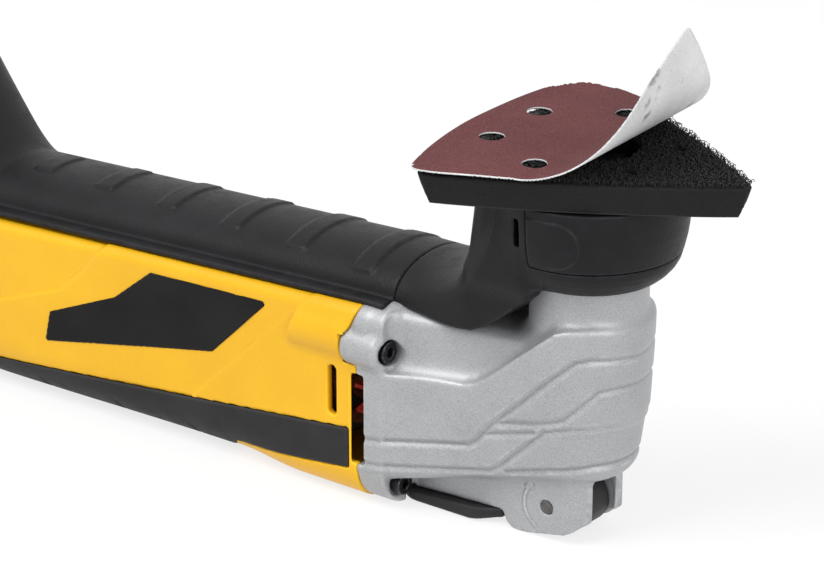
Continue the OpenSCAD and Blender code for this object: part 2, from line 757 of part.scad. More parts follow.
// Part of the collar that reaches back to the duct, drawn in by d
module saddle_form(d, e = 0) {
  xs = [0.1, 6, 12, 17, 21, 25, 29, 33, 38, 44, 50.5];
  lows = [0, 0, 0, 0, 0, 0, 0.4, 2, 5, 11, collar_low_z - deck_front_z];
  loft([for (i = [0:len(xs) - 1])
    let (px = seam_x + (i == 0 ? xs[i] - e : xs[i]))
    let (w = mix(duct_half_w, duct_foot_half_w - 0.1, ease(xs[i] / 30)) - d)
    let (rise = min(30, 40 - sqrt(1600 - pow(min(39.5, max(0, xs[i] - 1.5)), 2))))
    [px, w, deck_front_z + fit + lows[i] + d, deck_front_z + duct_h + rise - d, 1.2, duct_h - 1.4 - d, w]]);
}

// Dust collar round the neck with the chimney to the duct
module dust_collar() color(black) difference() {
  union() {
    rotate_extrude() polygon([[neck_r + run, collar_low_z], [collar_low_r, collar_low_z],
      [collar_low_r + 3, collar_low_z + 2.5], [collar_r - 2, collar_low_z + 6],
      [collar_r - 1.4, collar_seam_z], [neck_r + run, collar_seam_z]]);
    difference() {
      translate([0, 0, collar_low_z + 4]) linear_extrude(collar_top_z - collar_low_z - 4) chimney_plan(0);
      front_room(0.15);
    }
    intersection() {
      saddle_form(0);
      box([-80, -40, 0], [-5, 40, collar_top_z]);
    }
  }
  translate([0, 0, 50]) cylinder(h = 100, r = neck_r + run);
  translate([0, 0, collar_low_z + 3]) cylinder(h = 40, r = collar_r - 3.6);
  // dust way down to the duct
  translate([0, 0, collar_low_z + 3]) linear_extrude(40) intersection() {
    chimney_plan(duct_wall);
    translate([-40, -40]) square([40, 80]);
  }
  intersection() {
    saddle_form(duct_wall, 5);
    box([-80, -40, 0], [-neck_r - 2, 40, collar_top_z - 8]);
  }
  // slots beside the thumb pads
  both() box([-7.3, -40, collar_top_z - 11.5], [-5.2, -20, collar_top_z - 3]);
}

// Room of the front ring, with clearance g
module front_room(g) {
  translate([0, 0, collar_seam_z - g]) linear_extrude(60) difference() {
    translate([-2.5 - g, -40]) square([60, 80]);
    circle(r = collar_r - 4.2);
  }
}

// Front half ring of the collar with its thumb pads
module collar_ring() color(black) union() {
  intersection() {
    rotate_extrude() polygon([[collar_r - 3.6, collar_seam_z + 0.1], [collar_r - 1, collar_seam_z + 0.1],
      [collar_r, collar_top_z], [collar_r - 3.6, collar_top_z]]);
    front_room(-0.1);
  }
  both() intersection() {
    translate([0, 0, collar_seam_z + 1.5]) cylinder(h = ring_h - 3, r1 = collar_r, r2 = collar_r + 0.9);
    difference() {
      box([-2.3, -40, collar_seam_z + 1.5], [9, 0, collar_top_z - 2]);
      translate([0, 0, collar_seam_z - 5]) cylinder(h = ring_h + 20, r = collar_r - 2);
    }
  }
}

// Pad outline as a polar radius, drawn in by d
function pad_side(a, n, d) = let (c = pad_side_r - pad_apothem)
  -c * cos(a - n) + sqrt(pow(pad_side_r - d, 2) - pow(c * sin(a - n), 2));
function pad_at(a, d) = min(pad_corner_r - d, pad_side(a, 60, d), pad_side(a, 180, d), pad_side(a, 300, d));
function pad_points(d) = [for (a = [0:4:356]) pad_at(a, d) * [cos(a), sin(a)]];

// Holes of the pad that line up with those of the sheet
module pad_holes() {
  for (i = [0:5]) rotate([0, 0, 30 + 60 * i]) translate([dust_ring_r - 0.8, 0, pad_low_z - 1])
    cylinder(h = 30, r = dust_hole_r - 0.4);
}

// Rigid plate of the sanding pad
module pad_plate() color(black) difference() {
  translate([0, 0, pad_low_z]) linear_extrude(pad_plate_t) polygon(pad_points(pad_draft));
  translate([0, 0, pad_low_z - 1]) cylinder(h = 10, r = rod_r + 2);
  for (i = [0:5]) rotate([0, 0, 60 * i]) translate([9, 0, pad_low_z - 1]) cylinder(h = 10, r = 1.5 + fit);
  pad_holes();
}

// Foam of the sanding pad
module pad_foam() color([0.16, 0.15, 0.15]) difference() {
  foam_form();
  translate([0, 0, pad_low_z]) cylinder(h = 30, r = clamp_r + 3);
  pad_holes();
}

// Foam block that widens towards the hooks
module foam_form() {
  p = pad_points(pad_draft);
  q = pad_points(0);
  n = len(p);
  z0 = pad_low_z + pad_plate_t;
  pts = concat([for (v = p) [v[0], v[1], z0]], [for (v = q) [v[0], v[1], z0 + pad_foam_t * 0.7]],
               [for (v = q) [v[0], v[1], pad_top_z]]);
  sides = [for (i = [0:1]) for (j = [0:n - 1]) for (h = [0:1])
    let (k = (j + 1) % n)
    h == 0 ? [i * n + j, (i + 1) * n + k, i * n + k] : [i * n + j, (i + 1) * n + j, (i + 1) * n + k]];
  ends = [[for (j = [0:n - 1]) j], [for (j = [n - 1:-1:0]) 2 * n + j]];
  polyhedron(points = pts, faces = concat(sides, ends), convexity = 4);
}

// Hook layer on the foam
module hook_face() color([0.10, 0.09, 0.09]) difference() {
  translate([0, 0, pad_top_z]) linear_extrude(hook_h) polygon(pad_points(0.6));
  translate([0, 0, pad_low_z]) cylinder(h = 30, r = clamp_r + 3);
  pad_holes();
}

// Half width of the sheet at a place along it
function sheet_half(x) = let (c = sheet_side_r - sheet_apothem)
  min(sqrt(max(0, pow(sheet_corner_r, 2) - x * x)), sqrt(max(0, pow(sheet_side_r, 2) - pow(x - c, 2))),
      -c * sin(60) + sqrt(pow(sheet_side_r, 2) - pow(x + c * cos(60), 2)));

// Place of a sheet point: along, across, height above the lower face
function sheet_at(s0, y0, h) = let (s = s0 * (1 + lift_long * (s0 > 0 ? 1 : 0)))
  let (y = y0 * (1 + lift_wide * min(1, max(0, s0 / 30))), u = s - lift_at)
  let (full = lift_r * lift_angle * PI / 180)
  let (a = u <= 0 ? 0 : u >= full ? lift_angle : u / lift_r * 180 / PI)
  let (w = max(0, u - full))
  u <= 0 ? [s, y, h]
  : [lift_at + lift_r * sin(a) + w * cos(a) - h * sin(a), y,
     lift_r * (1 - cos(a)) + w * sin(a) + h * cos(a)];

// Abrasive sheet with one corner lifted off the hooks
module sanding_sheet() color([0.42, 0.25, 0.26])
  translate([-sheet_back, sheet_side, sheet_z]) rotate([0, 0, sheet_turn]) difference() {
    sheet_form();
    for (i = [1:4]) rotate([0, 0, 30 + 60 * i]) translate([dust_ring_r, 0, -5])
      cylinder(h = 10, r = dust_hole_r);
  }

// Sheet as one bent solid
module sheet_form() {
  x0 = -sheet_apothem + 0.02;
  xs = concat([for (v = [0, 0.5, 1.5, 3, 5, 7, 10, 17]) x0 + v], [-10, 0],
    [for (i = [0:16]) lift_at + (sheet_corner_r - 0.05 - lift_at) * i / 16]);
  m = 9;
  n = len(xs);
  pts = [for (h = [0, sheet_t]) for (x = xs) for (j = [0:m - 1])
    sheet_at(x, max(0.6, sheet_half(x)) * (2 * j / (m - 1) - 1), h)];
  o = n * m;
  cells = [for (i = [0:n - 2]) for (j = [0:m - 2])
    [i * m + j, (i + 1) * m + j, (i + 1) * m + j + 1, i * m + j + 1]];
  low = [for (c = cells) for (h = [0:1]) h == 0 ? [c[0], c[1], c[2]] : [c[0], c[2], c[3]]];
  rim = concat([for (i = [0:n - 1]) i * m], [for (j = [1:m - 1]) (n - 1) * m + j],
               [for (i = [n - 2:-1:0]) i * m + m - 1], [for (j = [m - 2:-1:1]) j]);
  edge = [for (i = [0:len(rim) - 1]) for (h = [0:1])
    let (a = rim[i], b = rim[(i + 1) % len(rim)])
    h == 0 ? [a, a + o, b + o] : [a, b + o, b]];
  high = [for (f = low) [f[0] + o, f[2] + o, f[1] + o]];
  polyhedron(points = pts, faces = concat(low, high, edge), convexity = 6);
}

// Hollow spindle with the tool flange and its drive pins
module spindle() color(steel) difference() {
  union() {
    translate([0, 0, spindle_low_z]) cylinder(h = neck_top_z - 19.5 - spindle_low_z, r = spindle_r);
    translate([0, 0, neck_top_z - 32]) cylinder(h = pad_low_z - neck_top_z + 32, r = spindle_low_r);
    translate([0, 0, pad_low_z - 3.5]) cylinder(h = 3.5, r = flange_r);
    for (i = [0:5]) rotate([0, 0, 60 * i]) translate([9, 0, pad_low_z - 1]) cylinder(h = 3.4, r = 1.5);
  }
  translate([0, 0, 0]) cylinder(h = 200, r = rod_r + run);
  translate([0, 0, 0]) cylinder(h = spring_top_z, r = 5.5);
}

// Spindle bearing at the pad side
module spindle_bearing_low() color(steel) translate([0, 0, neck_top_z - 12])
  bearing(spindle_low_r + run, 14, 8.4);

// Spindle bearing at the lever side
module spindle_bearing_high() color(steel) translate([0, 0, spindle_low_z]) bearing(spindle_r + run, 12, 6);

// Felt seal at the top of the neck
module spindle_seal() color([0.5, 0.48, 0.44]) translate([0, 0, neck_top_z - 3.5]) difference() {
  cylinder(h = 2.4, r = 15 - fit);
  translate([0, 0, -1]) cylinder(h = 5, r = spindle_low_r + air);
}

// Clamp rod with the button at the cam and the flange at the pad
module clamp_rod() color(steel) union() {
  translate([0, 0, rod_low_z]) cylinder(h = button_t, r = 5);
  translate([0, 0, rod_low_z + 1]) cylinder(h = pad_low_z + pad_plate_t + 1 - rod_low_z, r = rod_r);
  translate([0, 0, pad_low_z + pad_plate_t + run]) cylinder(h = 2.4, r = clamp_r);
}

// Spring that pulls the clamp rod in
module clamp_spring() color(steel) translate([0, 0, rod_low_z + button_t + 0.05])
  coil(4.35, spring_wire_r, spring_top_z - rod_low_z - button_t - 0.1, 4.5);

// Fork on the spindle that straddles the eccentric bearing
module fork() color(steel) difference() {
  union() {
    translate([0, 0, 29.5]) cylinder(h = 11.5, r = 11.5);
    box([-13.2, -fork_gap - 4.6, 29.5], [-5, fork_gap + 4.6, 38.5]);
    both() box([-ecc_back - 5.5, fork_gap, 29.5], [-12, fork_gap + 4.6, 38.5]);
  }
  translate([0, 0, 20]) cylinder(h = 40, r = spindle_r + 0.02);
}

// Motor shaft with the eccentric pin
module armature_shaft() color(steel) union() {
  xcyl(rear_bearing_x + 1, -ecc_back - 4.5, shaft_r);
  xcyl(rear_bearing_x - 6, rear_bearing_x + 2, 3);
  xcyl(-ecc_back - 4.6, -ecc_back + 4, shaft_r, 0, motor_z + ecc);
}

// Bearing on the eccentric pin
module eccentric_bearing() color(steel) translate([-ecc_back - 3.5, 0, motor_z + ecc]) rotate([0, 90, 0])
  bearing(shaft_r + 0.02, ecc_bearing_r, 7);

// Laminated armature stack
module armature_core() color([0.4, 0.4, 0.42]) difference() {
  xcyl(core_x, core_end, armature_r);
  xcyl(core_x - 1, core_end + 1, shaft_r + 0.02);
  for (i = [0:11]) translate([core_x - 1, 0, motor_z]) rotate([30 * i, 0, 0]) {
    translate([0, 0, armature_r - 2.6]) rotate([0, 90, 0]) cylinder(h = stator_len + 2, r = 1.5);
    translate([0, -0.6, armature_r - 2]) cube([stator_len + 2, 1.2, 4]);
  }
}

// End turns of the armature winding
module armature_winding() color(copper) for (x = [core_x - 7, core_end]) difference() {
  union() {
    xcyl(x, x + 7, armature_r - 3);
    xcyl(x + 1.5, x + 5.5, armature_r - 1.6);
  }
  xcyl(x - 1, x + 8, shaft_r + 0.02);
}

// Commutator with its bars
module commutator() color(copper) difference() {
  union() {
    xcyl(brush_x - 5.5, brush_x + 5.5, commutator_r);
    xcyl(brush_x + 4, brush_x + 7.5, commutator_r + 1);
  }
  xcyl(brush_x - 10, brush_x + 10, shaft_r + 0.02);
  for (i = [0:23]) translate([brush_x - 10, 0, motor_z]) rotate([15 * i, 0, 0])
    translate([0, -0.25, commutator_r - 0.8]) cube([20, 0.5, 4]);
}

// Radial fan
module fan() color([0.45, 0.08, 0.08]) difference() {
  union() {
    xcyl(joint_x + 6, joint_x + 7.6, fan_r);
    xcyl(joint_x - 5.4, joint_x + 7, 7);
    for (i = [0:fan_blades - 1]) translate([joint_x - 5.4, 0, motor_z]) rotate([360 / fan_blades * i, 0, 0])
      translate([0, -0.6, 6.5]) cube([11.9, 1.2, fan_r - 6.8]);
  }
  xcyl(joint_x - 10, joint_x + 20, shaft_r + 0.02);
}

// Plate that carries the front bearing
module bearing_plate() color(silver) difference() {
  union() {
    xcyl(joint_x + 11, joint_x + 16 - run, 23.6 - fit);
    xcyl(joint_x + 11, joint_x + 25, 14);
  }
  xcyl(joint_x, joint_x + 30, shaft_r + 1);
  xcyl(joint_x + 16.5, joint_x + 30, 11 + 0.02);
}

// Front bearing of the motor
module front_bearing() color(steel) translate([joint_x + 16.5, 0, motor_z]) rotate([0, 90, 0])
  bearing(shaft_r + run, 11, 7);

// Plastic bracket of the rear bearing and the brushes
module rear_bracket() color([0.2, 0.2, 0.22]) difference() {
  xcyl(rear_bearing_x - 10, brush_x + 8.5, stator_r);
  xcyl(rear_bearing_x + 1, brush_x + 20, stator_r - 2.5);
  xcyl(rear_bearing_x - 6, rear_bearing_x + 2, 9.5 + 0.02);
  xcyl(rear_bearing_x - 20, rear_bearing_x, 5);
  both() box([brush_x - 5.2 - fit, 5, motor_z - 4.7 - fit], [brush_x + 5.2 + fit, 40, motor_z + 4.7 + fit]);
  // flat under the deck
  box([rear_bearing_x - 20, -30, deck_z(rear_bearing_x - 10) - body_wall - fit], [brush_x + 20, 30, 90]);
}

// Rear bearing of the motor
module rear_bearing() color(steel) translate([rear_bearing_x - 6, 0, motor_z]) rotate([0, 90, 0])
  bearing(3 + run, 9.5, 6);

// Laminated stator with two poles
module stator_core() color([0.42, 0.42, 0.44]) difference() {
  xcyl(core_x, core_end, stator_r);
  difference() {
    xcyl(core_x - 1, core_end + 1, stator_r - 3.8);
    box([core_x - 2, -8, 0], [core_end + 2, 8, 80]);
    difference() {
      xcyl(core_x - 2, core_end + 2, 16);
      both() box([core_x - 3, 12.5, 0], [core_end + 3, 40, 80]);
    }
  }
  xcyl(core_x - 2, core_end + 2, armature_r + 0.5);
}

// Field coils round the two poles
module field_coils() color(copper) difference() {
  xcyl(core_x - 6, core_end + 6, stator_r - 4.2);
  xcyl(core_x - 7, core_end + 7, 16.4);
  box([core_x - 0.2, -8.4, 0], [core_end + 0.2, 8.4, 80]);
}

// Two brass brush holders
module brush_holders() color([0.72, 0.60, 0.30]) both() difference() {
  box([brush_x - 5.2, commutator_r + 1, motor_z - 4.7], [brush_x + 5.2, 24.5, motor_z + 4.7]);
  box([brush_x - 4, commutator_r, motor_z - 3.5], [brush_x + 4, 23.5, motor_z + 3.5]);
}

// Two carbon brushes
module brushes() color([0.2, 0.2, 0.2]) both()
  box([brush_x - 4 + fit, commutator_r + 0.1, motor_z - 3.5 + fit],
      [brush_x + 4 - fit, 18, motor_z + 3.5 - fit]);

// Springs behind the brushes
module brush_springs() color(steel) both() translate([brush_x, 18.05, motor_z]) rotate([-90, 0, 0])
  coil(2.4, 0.4, 5.4, 4);

// Switch block in the rear of the body
module switch_module() color([0.18, 0.18, 0.2]) union() {
  box([switch_x, -10, 10], [switch_x + switch_len, 10, 34]);
  box([switch_x + switch_len * 0.2, -6, 33], [switch_x + switch_len * 0.3, -4, 39]);
  box([switch_x + switch_len * 0.7, 4, 33], [switch_x + switch_len * 0.8, 6, 39]);
}

// Bar that carries the travel of the slider to the switch
module switch_link() color([0.3, 0.3, 0.32]) union() {
  box([switch_x + switch_len / 2, -3.5, 5.4], [slider_x + 4, 3.5, 8]);
  box([switch_x + switch_len / 2, -3.5, 5.4], [switch_x + switch_len / 2 + 3, 3.5, 9.6]);
}

// Slider of the switch with its thumb pad
module switch_slider() color(black) difference() {
  union() {
    box([slider_x - slider_len / 2, -slider_half_w, 0.5],
        [slider_x + slider_len / 2, slider_half_w, 2.6 - air / 2]);
    box([slider_x - 3, -2.4, 1], [slider_x + 3, 2.4, 5.35]);
  }
  for (i = [-4:4]) translate([slider_x + 2 * i, 0, 0.5]) rotate([0, 45, 0])
    cube([0.8, 40, 0.8], center = true);
}

// Speed control board
module control_board() color([0.1, 0.32, 0.16]) union() {
  box([board_x, -20, 20], [board_x + board_len, 20, 21.6]);
  box([board_x + board_len * 0.72, -12, 21.5], [board_x + board_len * 0.93, 10, 38]);
  translate([board_x + board_len * 0.29, -6, 21.5]) cylinder(h = 14, r = board_len * 0.18);
  box([board_x + board_len * 0.04, 3, 21.5], [board_x + board_len * 0.39, 13, 28]);
}

// Moves a part from the spindle axis to the middle of the tool
module place() translate([spindle_x, 0, 0]) children();

place() gear_head();
place() head_screws();
place() lever();
place() lever_pin();
place() left_shell();
place() right_shell();
place() left_grip_strip();
place() right_grip_strip();
place() rating_plate();
place() shell_screws();
place() rear_cap();
place() cord_gland();
place() speed_dial();
place() dust_duct();
place() hose_adapter();
place() dust_collar();
place() collar_ring();
place() pad_plate();
place() pad_foam();
place() hook_face();
place() sanding_sheet();
place() spindle();
place() spindle_bearing_low();
place() spindle_bearing_high();
place() spindle_seal();
place() clamp_rod();
place() clamp_spring();
place() fork();
place() armature_shaft();
place() armature_core();
place() armature_winding();
place() commutator();
place() fan();
place() eccentric_bearing();
place() bearing_plate();
place() front_bearing();
place() rear_bracket();
place() rear_bearing();
place() stator_core();
place() field_coils();
place() brush_holders();
place() brushes();
place() brush_springs();
place() switch_module();
place() switch_link();
place() switch_slider();
place() control_board();
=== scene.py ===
# Oscillating multi tool with a delta sanding pad, lying on its back with the pad up.
# Lengths inside a section are millimetres from the spindle axis and the floor; meshes are metres.
import math

import bpy
import numpy as np
from mathutils import Matrix, Vector


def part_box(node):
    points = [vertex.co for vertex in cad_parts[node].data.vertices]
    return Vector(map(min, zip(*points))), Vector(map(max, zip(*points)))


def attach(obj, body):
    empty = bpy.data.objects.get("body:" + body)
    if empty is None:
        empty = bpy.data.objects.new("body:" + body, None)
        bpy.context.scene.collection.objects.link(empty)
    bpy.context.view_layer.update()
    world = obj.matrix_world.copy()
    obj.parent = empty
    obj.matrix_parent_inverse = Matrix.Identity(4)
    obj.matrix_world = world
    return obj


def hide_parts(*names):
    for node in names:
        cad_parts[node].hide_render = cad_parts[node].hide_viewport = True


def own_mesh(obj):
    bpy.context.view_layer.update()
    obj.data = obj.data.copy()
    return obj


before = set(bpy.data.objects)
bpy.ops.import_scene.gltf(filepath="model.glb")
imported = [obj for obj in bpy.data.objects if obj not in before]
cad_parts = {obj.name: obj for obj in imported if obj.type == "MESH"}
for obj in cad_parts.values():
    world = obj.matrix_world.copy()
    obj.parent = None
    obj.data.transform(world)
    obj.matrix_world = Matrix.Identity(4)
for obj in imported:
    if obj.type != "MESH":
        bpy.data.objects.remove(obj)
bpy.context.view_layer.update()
scene = bpy.context.scene

# Table, camera and studio light
# A plain pale table takes the shadow of the tool, under two broad soft lamps and an even sky.
# The camera looks down at the left side of the tool from the front, as in the photograph.


def into_scene(name, data):
    made = bpy.data.objects.new(name, data)
    scene.collection.objects.link(made)
    return made


eye = Vector((0.7027, -0.8494, 0.4872))
turn, dip = math.radians(37.846), math.radians(21.506)
look = Vector((-math.sin(turn) * math.cos(dip), math.cos(turn) * math.cos(dip), -math.sin(dip)))
camera = into_scene("camera", bpy.data.cameras.new("camera"))
camera.data.lens = 167.7
camera.data.sensor_width = 36.0
camera.data.sensor_fit = "HORIZONTAL"
camera.data.clip_end = 20.0
camera.matrix_world = Matrix.Translation(eye) @ look.to_track_quat("-Z", "Y").to_matrix().to_4x4()
scene.camera = camera
scene.view_settings.view_transform = "Standard"


class Wire:
    """A socket of a material, so that a pattern is written as plain arithmetic."""

    def __init__(self, tree, socket):
        self.tree, self.socket = tree, socket

    def node(self, kind, *inputs, settings=None, out=0, **named):
        made = self.tree.nodes.new(kind)
        for key, value in (settings or {}).items():
            setattr(made, key, value)
        for key, value in [*enumerate(inputs), *named.items()]:
            if isinstance(value, Wire):
                self.tree.links.new(value.socket, made.inputs[key])
            elif value is not None:
                made.inputs[key].default_value = value
        return Wire(self.tree, made.outputs[out])

    def sum(self, how, a, b=None):
        return self.node("ShaderNodeMath", a, b, settings={"operation": how})

    def __add__(self, other):
        return self.sum("ADD", self, other)

    def __sub__(self, other):
        return self.sum("SUBTRACT", self, other)

    def __rsub__(self, other):
        return self.sum("SUBTRACT", other, self)

    def __mul__(self, other):
        return self.sum("MULTIPLY", self, other)

    __radd__, __rmul__ = __add__, __mul__

    def clear(self, low, high):
        return self.node("ShaderNodeMapRange", self, low, high, 0.0, 1.0)

    def tint(self, dark, light):
        made = self.node("ShaderNodeMix", settings={"data_type": "RGBA"}, out=2, Factor=self)
        ends = made.socket.node.inputs
        ends[6].default_value, ends[7].default_value = (*dark, 1.0), (*light, 1.0)
        return made

    def stretch(self, *scale, turn=0.0):
        return self.node("ShaderNodeMapping", Vector=self, Scale=scale, Rotation=(0.0, turn, 0.0))

    def noise(self, scale, detail=3.0, low=None, high=None):
        made = self.node("ShaderNodeTexNoise", Vector=self, Scale=scale, Detail=detail, Roughness=0.55)
        return made if low is None else made.clear(low, high)

    def cloud(self, scale):
        return self.noise(scale, 4, 0.3, 0.7)

    def cells(self, scale, **settings):
        return self.node("ShaderNodeTexVoronoi", settings=settings, Vector=self, Scale=scale)

    def bump(self, strength, distance):
        return self.node("ShaderNodeBump", Strength=strength, Distance=distance, Height=self)


shader_inputs = {"colour": "Base Color", "rough": "Roughness", "normal": "Normal", "metal": "Metallic",
                 "gloss": "Specular IOR Level", "coat": "Coat Weight", "coat_rough": "Coat Roughness"}


def finish(surface):
    """Makes a material of the function under it, which turns object coordinates into inputs of the shader."""
    made = bpy.data.materials.new(surface.__name__)
    made.use_nodes = True
    tree = made.node_tree
    tree.nodes.clear()
    place = Wire(tree, tree.nodes.new("ShaderNodeTexCoord").outputs["Object"])
    shader = tree.nodes.new("ShaderNodeBsdfPrincipled")
    for key, value in surface(place).items():
        goal = shader.inputs[shader_inputs[key]]
        if isinstance(value, Wire):
            tree.links.new(value.socket, goal)
        else:
            goal.default_value = value
    tree.links.new(shader.outputs[0], tree.nodes.new("ShaderNodeOutputMaterial").inputs[0])
    return made


@finish
def table(place):
    return dict(colour=place.noise(9).tint((0.80, 0.80, 0.80), (0.84, 0.84, 0.84)), rough=0.7)


def seen(tree):
    """One where a ray comes from the eye or from a mirror or glass, nought for the light itself."""
    path = tree.nodes.new("ShaderNodeLightPath")
    eye_ray, gloss_ray, glass_ray = (Wire(tree, path.outputs[name]) for name in (
        "Is Camera Ray", "Is Glossy Ray", "Is Transmission Ray"))
    return (eye_ray + gloss_ray + glass_ray).clear(0, 1)


output = table.node_tree.nodes["Material Output"]
plain = Wire(table.node_tree, output.inputs[0].links[0].from_socket)
white = plain.node("ShaderNodeEmission", (1.0, 1.0, 1.0, 1.0), 1.06)
mixed = plain.node("ShaderNodeMixShader", seen(table.node_tree) * 0.72, plain, white)
table.node_tree.links.new(mixed.socket, output.inputs[0])
floor_mesh = bpy.data.meshes.new("floor")
floor_mesh.from_pydata([(-4, -4, 0), (4, -4, 0), (4, 4, 0), (-4, 4, 0)], [], [(0, 1, 2, 3)])
floor = into_scene("floor", floor_mesh)
floor_mesh.materials.append(table)

sky = bpy.data.worlds.new("studio")
sky.use_nodes = True
sky_light = sky.node_tree.nodes["Background"]
sky_light.inputs[0].default_value = (1.0, 1.0, 1.0, 1.0)
sky.node_tree.links.new((seen(sky.node_tree) * 0.45 + 0.55).socket, sky_light.inputs[1])
scene.world = sky
for name, where, aim, size, power in (("key_lamp", (-0.35, -1.0, 1.55), (0.0, 0.0, 0.05), 1.1, 24.0),
                                      ("side_lamp", (1.5, -0.5, 0.9), (0.05, 0.0, 0.05), 0.9, 11.0)):
    lamp = into_scene(name, bpy.data.lights.new(name, "AREA"))
    lamp.data.size = size
    lamp.data.energy = power
    lamp.matrix_world = Matrix.Translation(where) @ (Vector(aim) - Vector(where)).to_track_quat(
        "-Z", "Y").to_matrix().to_4x4()

# Gear head
# One aluminium die casting, sprayed with a fine grained silver paint: the neck of the spindle, the wide
# gear room with its moulded grooves, the bosses of the joint screws and the two ears of the lever.


def hyp(a, b):
    return np.sqrt(a * a + b * b)


def most(first, *rest):
    """Greatest of several fields: what their solids share."""
    for other in rest:
        first = np.maximum(first, other)
    return first


def least(first, *rest):
    """Least of several fields: their solids in one."""
    for other in rest:
        first = np.minimum(first, other)
    return first


def join(a, b, r=0.0):
    """Two solids in one, with a fillet of radius r."""
    return most(r, least(a, b)) - hyp(most(r - a, 0), most(r - b, 0))


def meet(a, b, r=0.0):
    """What two solids share, with its new edge rounded to radius r."""
    return least(-r, most(a, b)) + hyp(most(r + a, 0), most(r + b, 0))


def cut(a, b, r=0.0):
    return meet(a, -b, r)


def between(v, low, high):
    return most(low - v, v - high)


def unit(t):
    return np.clip(t, 0, 1)


def ease(t):
    t = unit(t)
    return t * t * (3.0 - 2.0 * t)


def brick(x, y, z, low, high, r=0.0):
    plan = meet(between(x, low[0], high[0]), between(y, low[1], high[1]), r)
    return meet(plan, between(z, low[2], high[2]), r)


def along(x, z, points):
    """Distance in the plane to a line through points."""
    parts = []
    for (x0, z0), (x1, z1) in zip(points[:-1], points[1:]):
        dx, dz = x1 - x0, z1 - z0
        t = unit(((x - x0) * dx + (z - z0) * dz) / (dx * dx + dz * dz))
        parts.append(hyp(x - x0 - t * dx, z - z0 - t * dz))
    return least(*parts)


def outline(x, z, points):
    """Signed distance in the plane to a closed outline."""
    inside = np.zeros(np.broadcast(x, z).shape, bool)
    for (x0, z0), (x1, z1) in zip(points, points[1:] + points[:1]):
        cross = (z0 > z) != (z1 > z)
        inside ^= cross & (x < (x1 - x0) * (z - z0) / (z1 - z0 if z1 != z0 else 1e-9) + x0)
    d = along(x, z, points + points[:1])
    return np.where(inside, -d, d)


axis_x = 0.108  # of the spindle, in metres from the middle of the part


def loose(name, points, faces, origin=(0.0, 0.0, 0.0)):
    """A smooth mesh in the scene, from points in millimetres; its origin is in metres."""
    mesh = bpy.data.meshes.new(name)
    points = np.asarray(points, np.float32) * 0.001 + np.array(origin, np.float32)
    mesh.from_pydata(points.tolist(), [], faces)
    mesh.polygons.foreach_set("use_smooth", [True] * len(mesh.polygons))
    return into_scene(name, mesh)


def piece(name, points, faces, body, material, nodes=(), slot=None):
    """Puts a mesh given in millimetres from the spindle axis into the scene, riding on a body."""
    made = loose(name, points, faces, (axis_x, 0.0, 0.0))
    made.data.validate()
    made.data.materials.append(material)
    settle(made, body, nodes)
    return made


def settle(made, body, nodes=()):
    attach(made, body)
    if nodes:
        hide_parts(*nodes)


def skin(field, low, high, cell):
    """Meshes the surface where a field of signed distance is nought, and marks its edges and hollows."""
    low = np.array(low, np.float32)
    n = np.ceil((np.array(high) - low) / cell).astype(int) + 1
    gx, gy, gz = (low[i] + cell * np.arange(n[i], dtype=np.float32) for i in range(3))
    v = np.empty(n, np.float32)
    for i in range(0, n[0], 16):
        v[i:i + 16] = field(gx[i:i + 16, None, None], gy[None, :, None], gz[None, None, :])
    inside = v < 0
    corners = list(np.ndindex(2, 2, 2))
    part = [slice(0, -1), slice(1, None)]
    count = sum(inside[part[a], part[b], part[c]].astype(np.int8) for a, b, c in corners)
    at = np.argwhere((count > 0) & (count < 8))
    number = np.full(n - 1, -1, np.int32)
    number[tuple(at.T)] = np.arange(len(at))
    value = {k: v[at[:, 0] + k[0], at[:, 1] + k[1], at[:, 2] + k[2]] for k in corners}
    place = np.zeros((len(at), 3), np.float32)
    hits = np.zeros(len(at), np.float32)
    for a in corners:
        for axis in range(3):
            if a[axis] == 0:
                b = tuple(1 if i == axis else a[i] for i in range(3))
                through = (value[a] < 0) != (value[b] < 0)
                t = np.where(through, value[a] / np.where(through, value[a] - value[b], 1), 0)
                for i in range(3):
                    place[:, i] += np.where(through, a[i] + (t if i == axis else 0), 0)
                hits += through
    points = low + cell * (at + place / hits[:, None])
    h = 0.3 * cell
    for _ in range(2):
        d = field(*points.T)
        slope = np.stack([field(*(points + step).T) - field(*(points - step).T)
                          for step in np.eye(3, dtype=np.float32) * h], 1) / (2 * h)
        move = d[:, None] * slope / most((slope * slope).sum(1), 0.2)[:, None]
        points = points - np.clip(move, -0.6 * cell, 0.6 * cell)
    h = 0.6
    d = field(*points.T)
    bend = sum(field(*(points + step).T) + field(*(points - step).T) - 2 * d
               for step in np.eye(3, dtype=np.float32) * h) / (h * h)
    faces = []
    for axis in range(3):
        p, q = np.eye(3, dtype=int)[[(axis + 1) % 3, (axis + 2) % 3]]
        a, b = (inside[tuple(half if i == axis else slice(1, -1) for i in range(3))] for half in part)
        edge = np.argwhere(a != b)
        ring = np.stack([number[tuple((edge + step).T)] for step in (0 * p, p, p + q, q)], 1)
        faces.append(np.where(a[tuple(edge.T)][:, None], ring, ring[:, ::-1]))
    return points, np.concatenate(faces).tolist(), bend


def mark(made, bend):
    """Keeps the bend of the surface as an attribute: above nought on edges, below it in hollows. Several
    materials paint highlights on the edges and shade in the hollows from it.
    """
    made.data.attributes.new("bend", "FLOAT", "POINT").data.foreach_set("value", bend.astype(np.float32))


def moulded(name, field, low, high, cell, material, nodes, slot, body="body"):
    """Meshes a field within a box, in cells of a given size, and puts it into the scene."""
    points, faces, bend = skin(field, low, high, cell)
    made = piece(name, points, faces, body, material, nodes, slot)
    mark(made, bend)
    return made


def bend_of(place):
    return place.node("ShaderNodeAttribute", settings={"attribute_name": "bend"}, out="Fac")


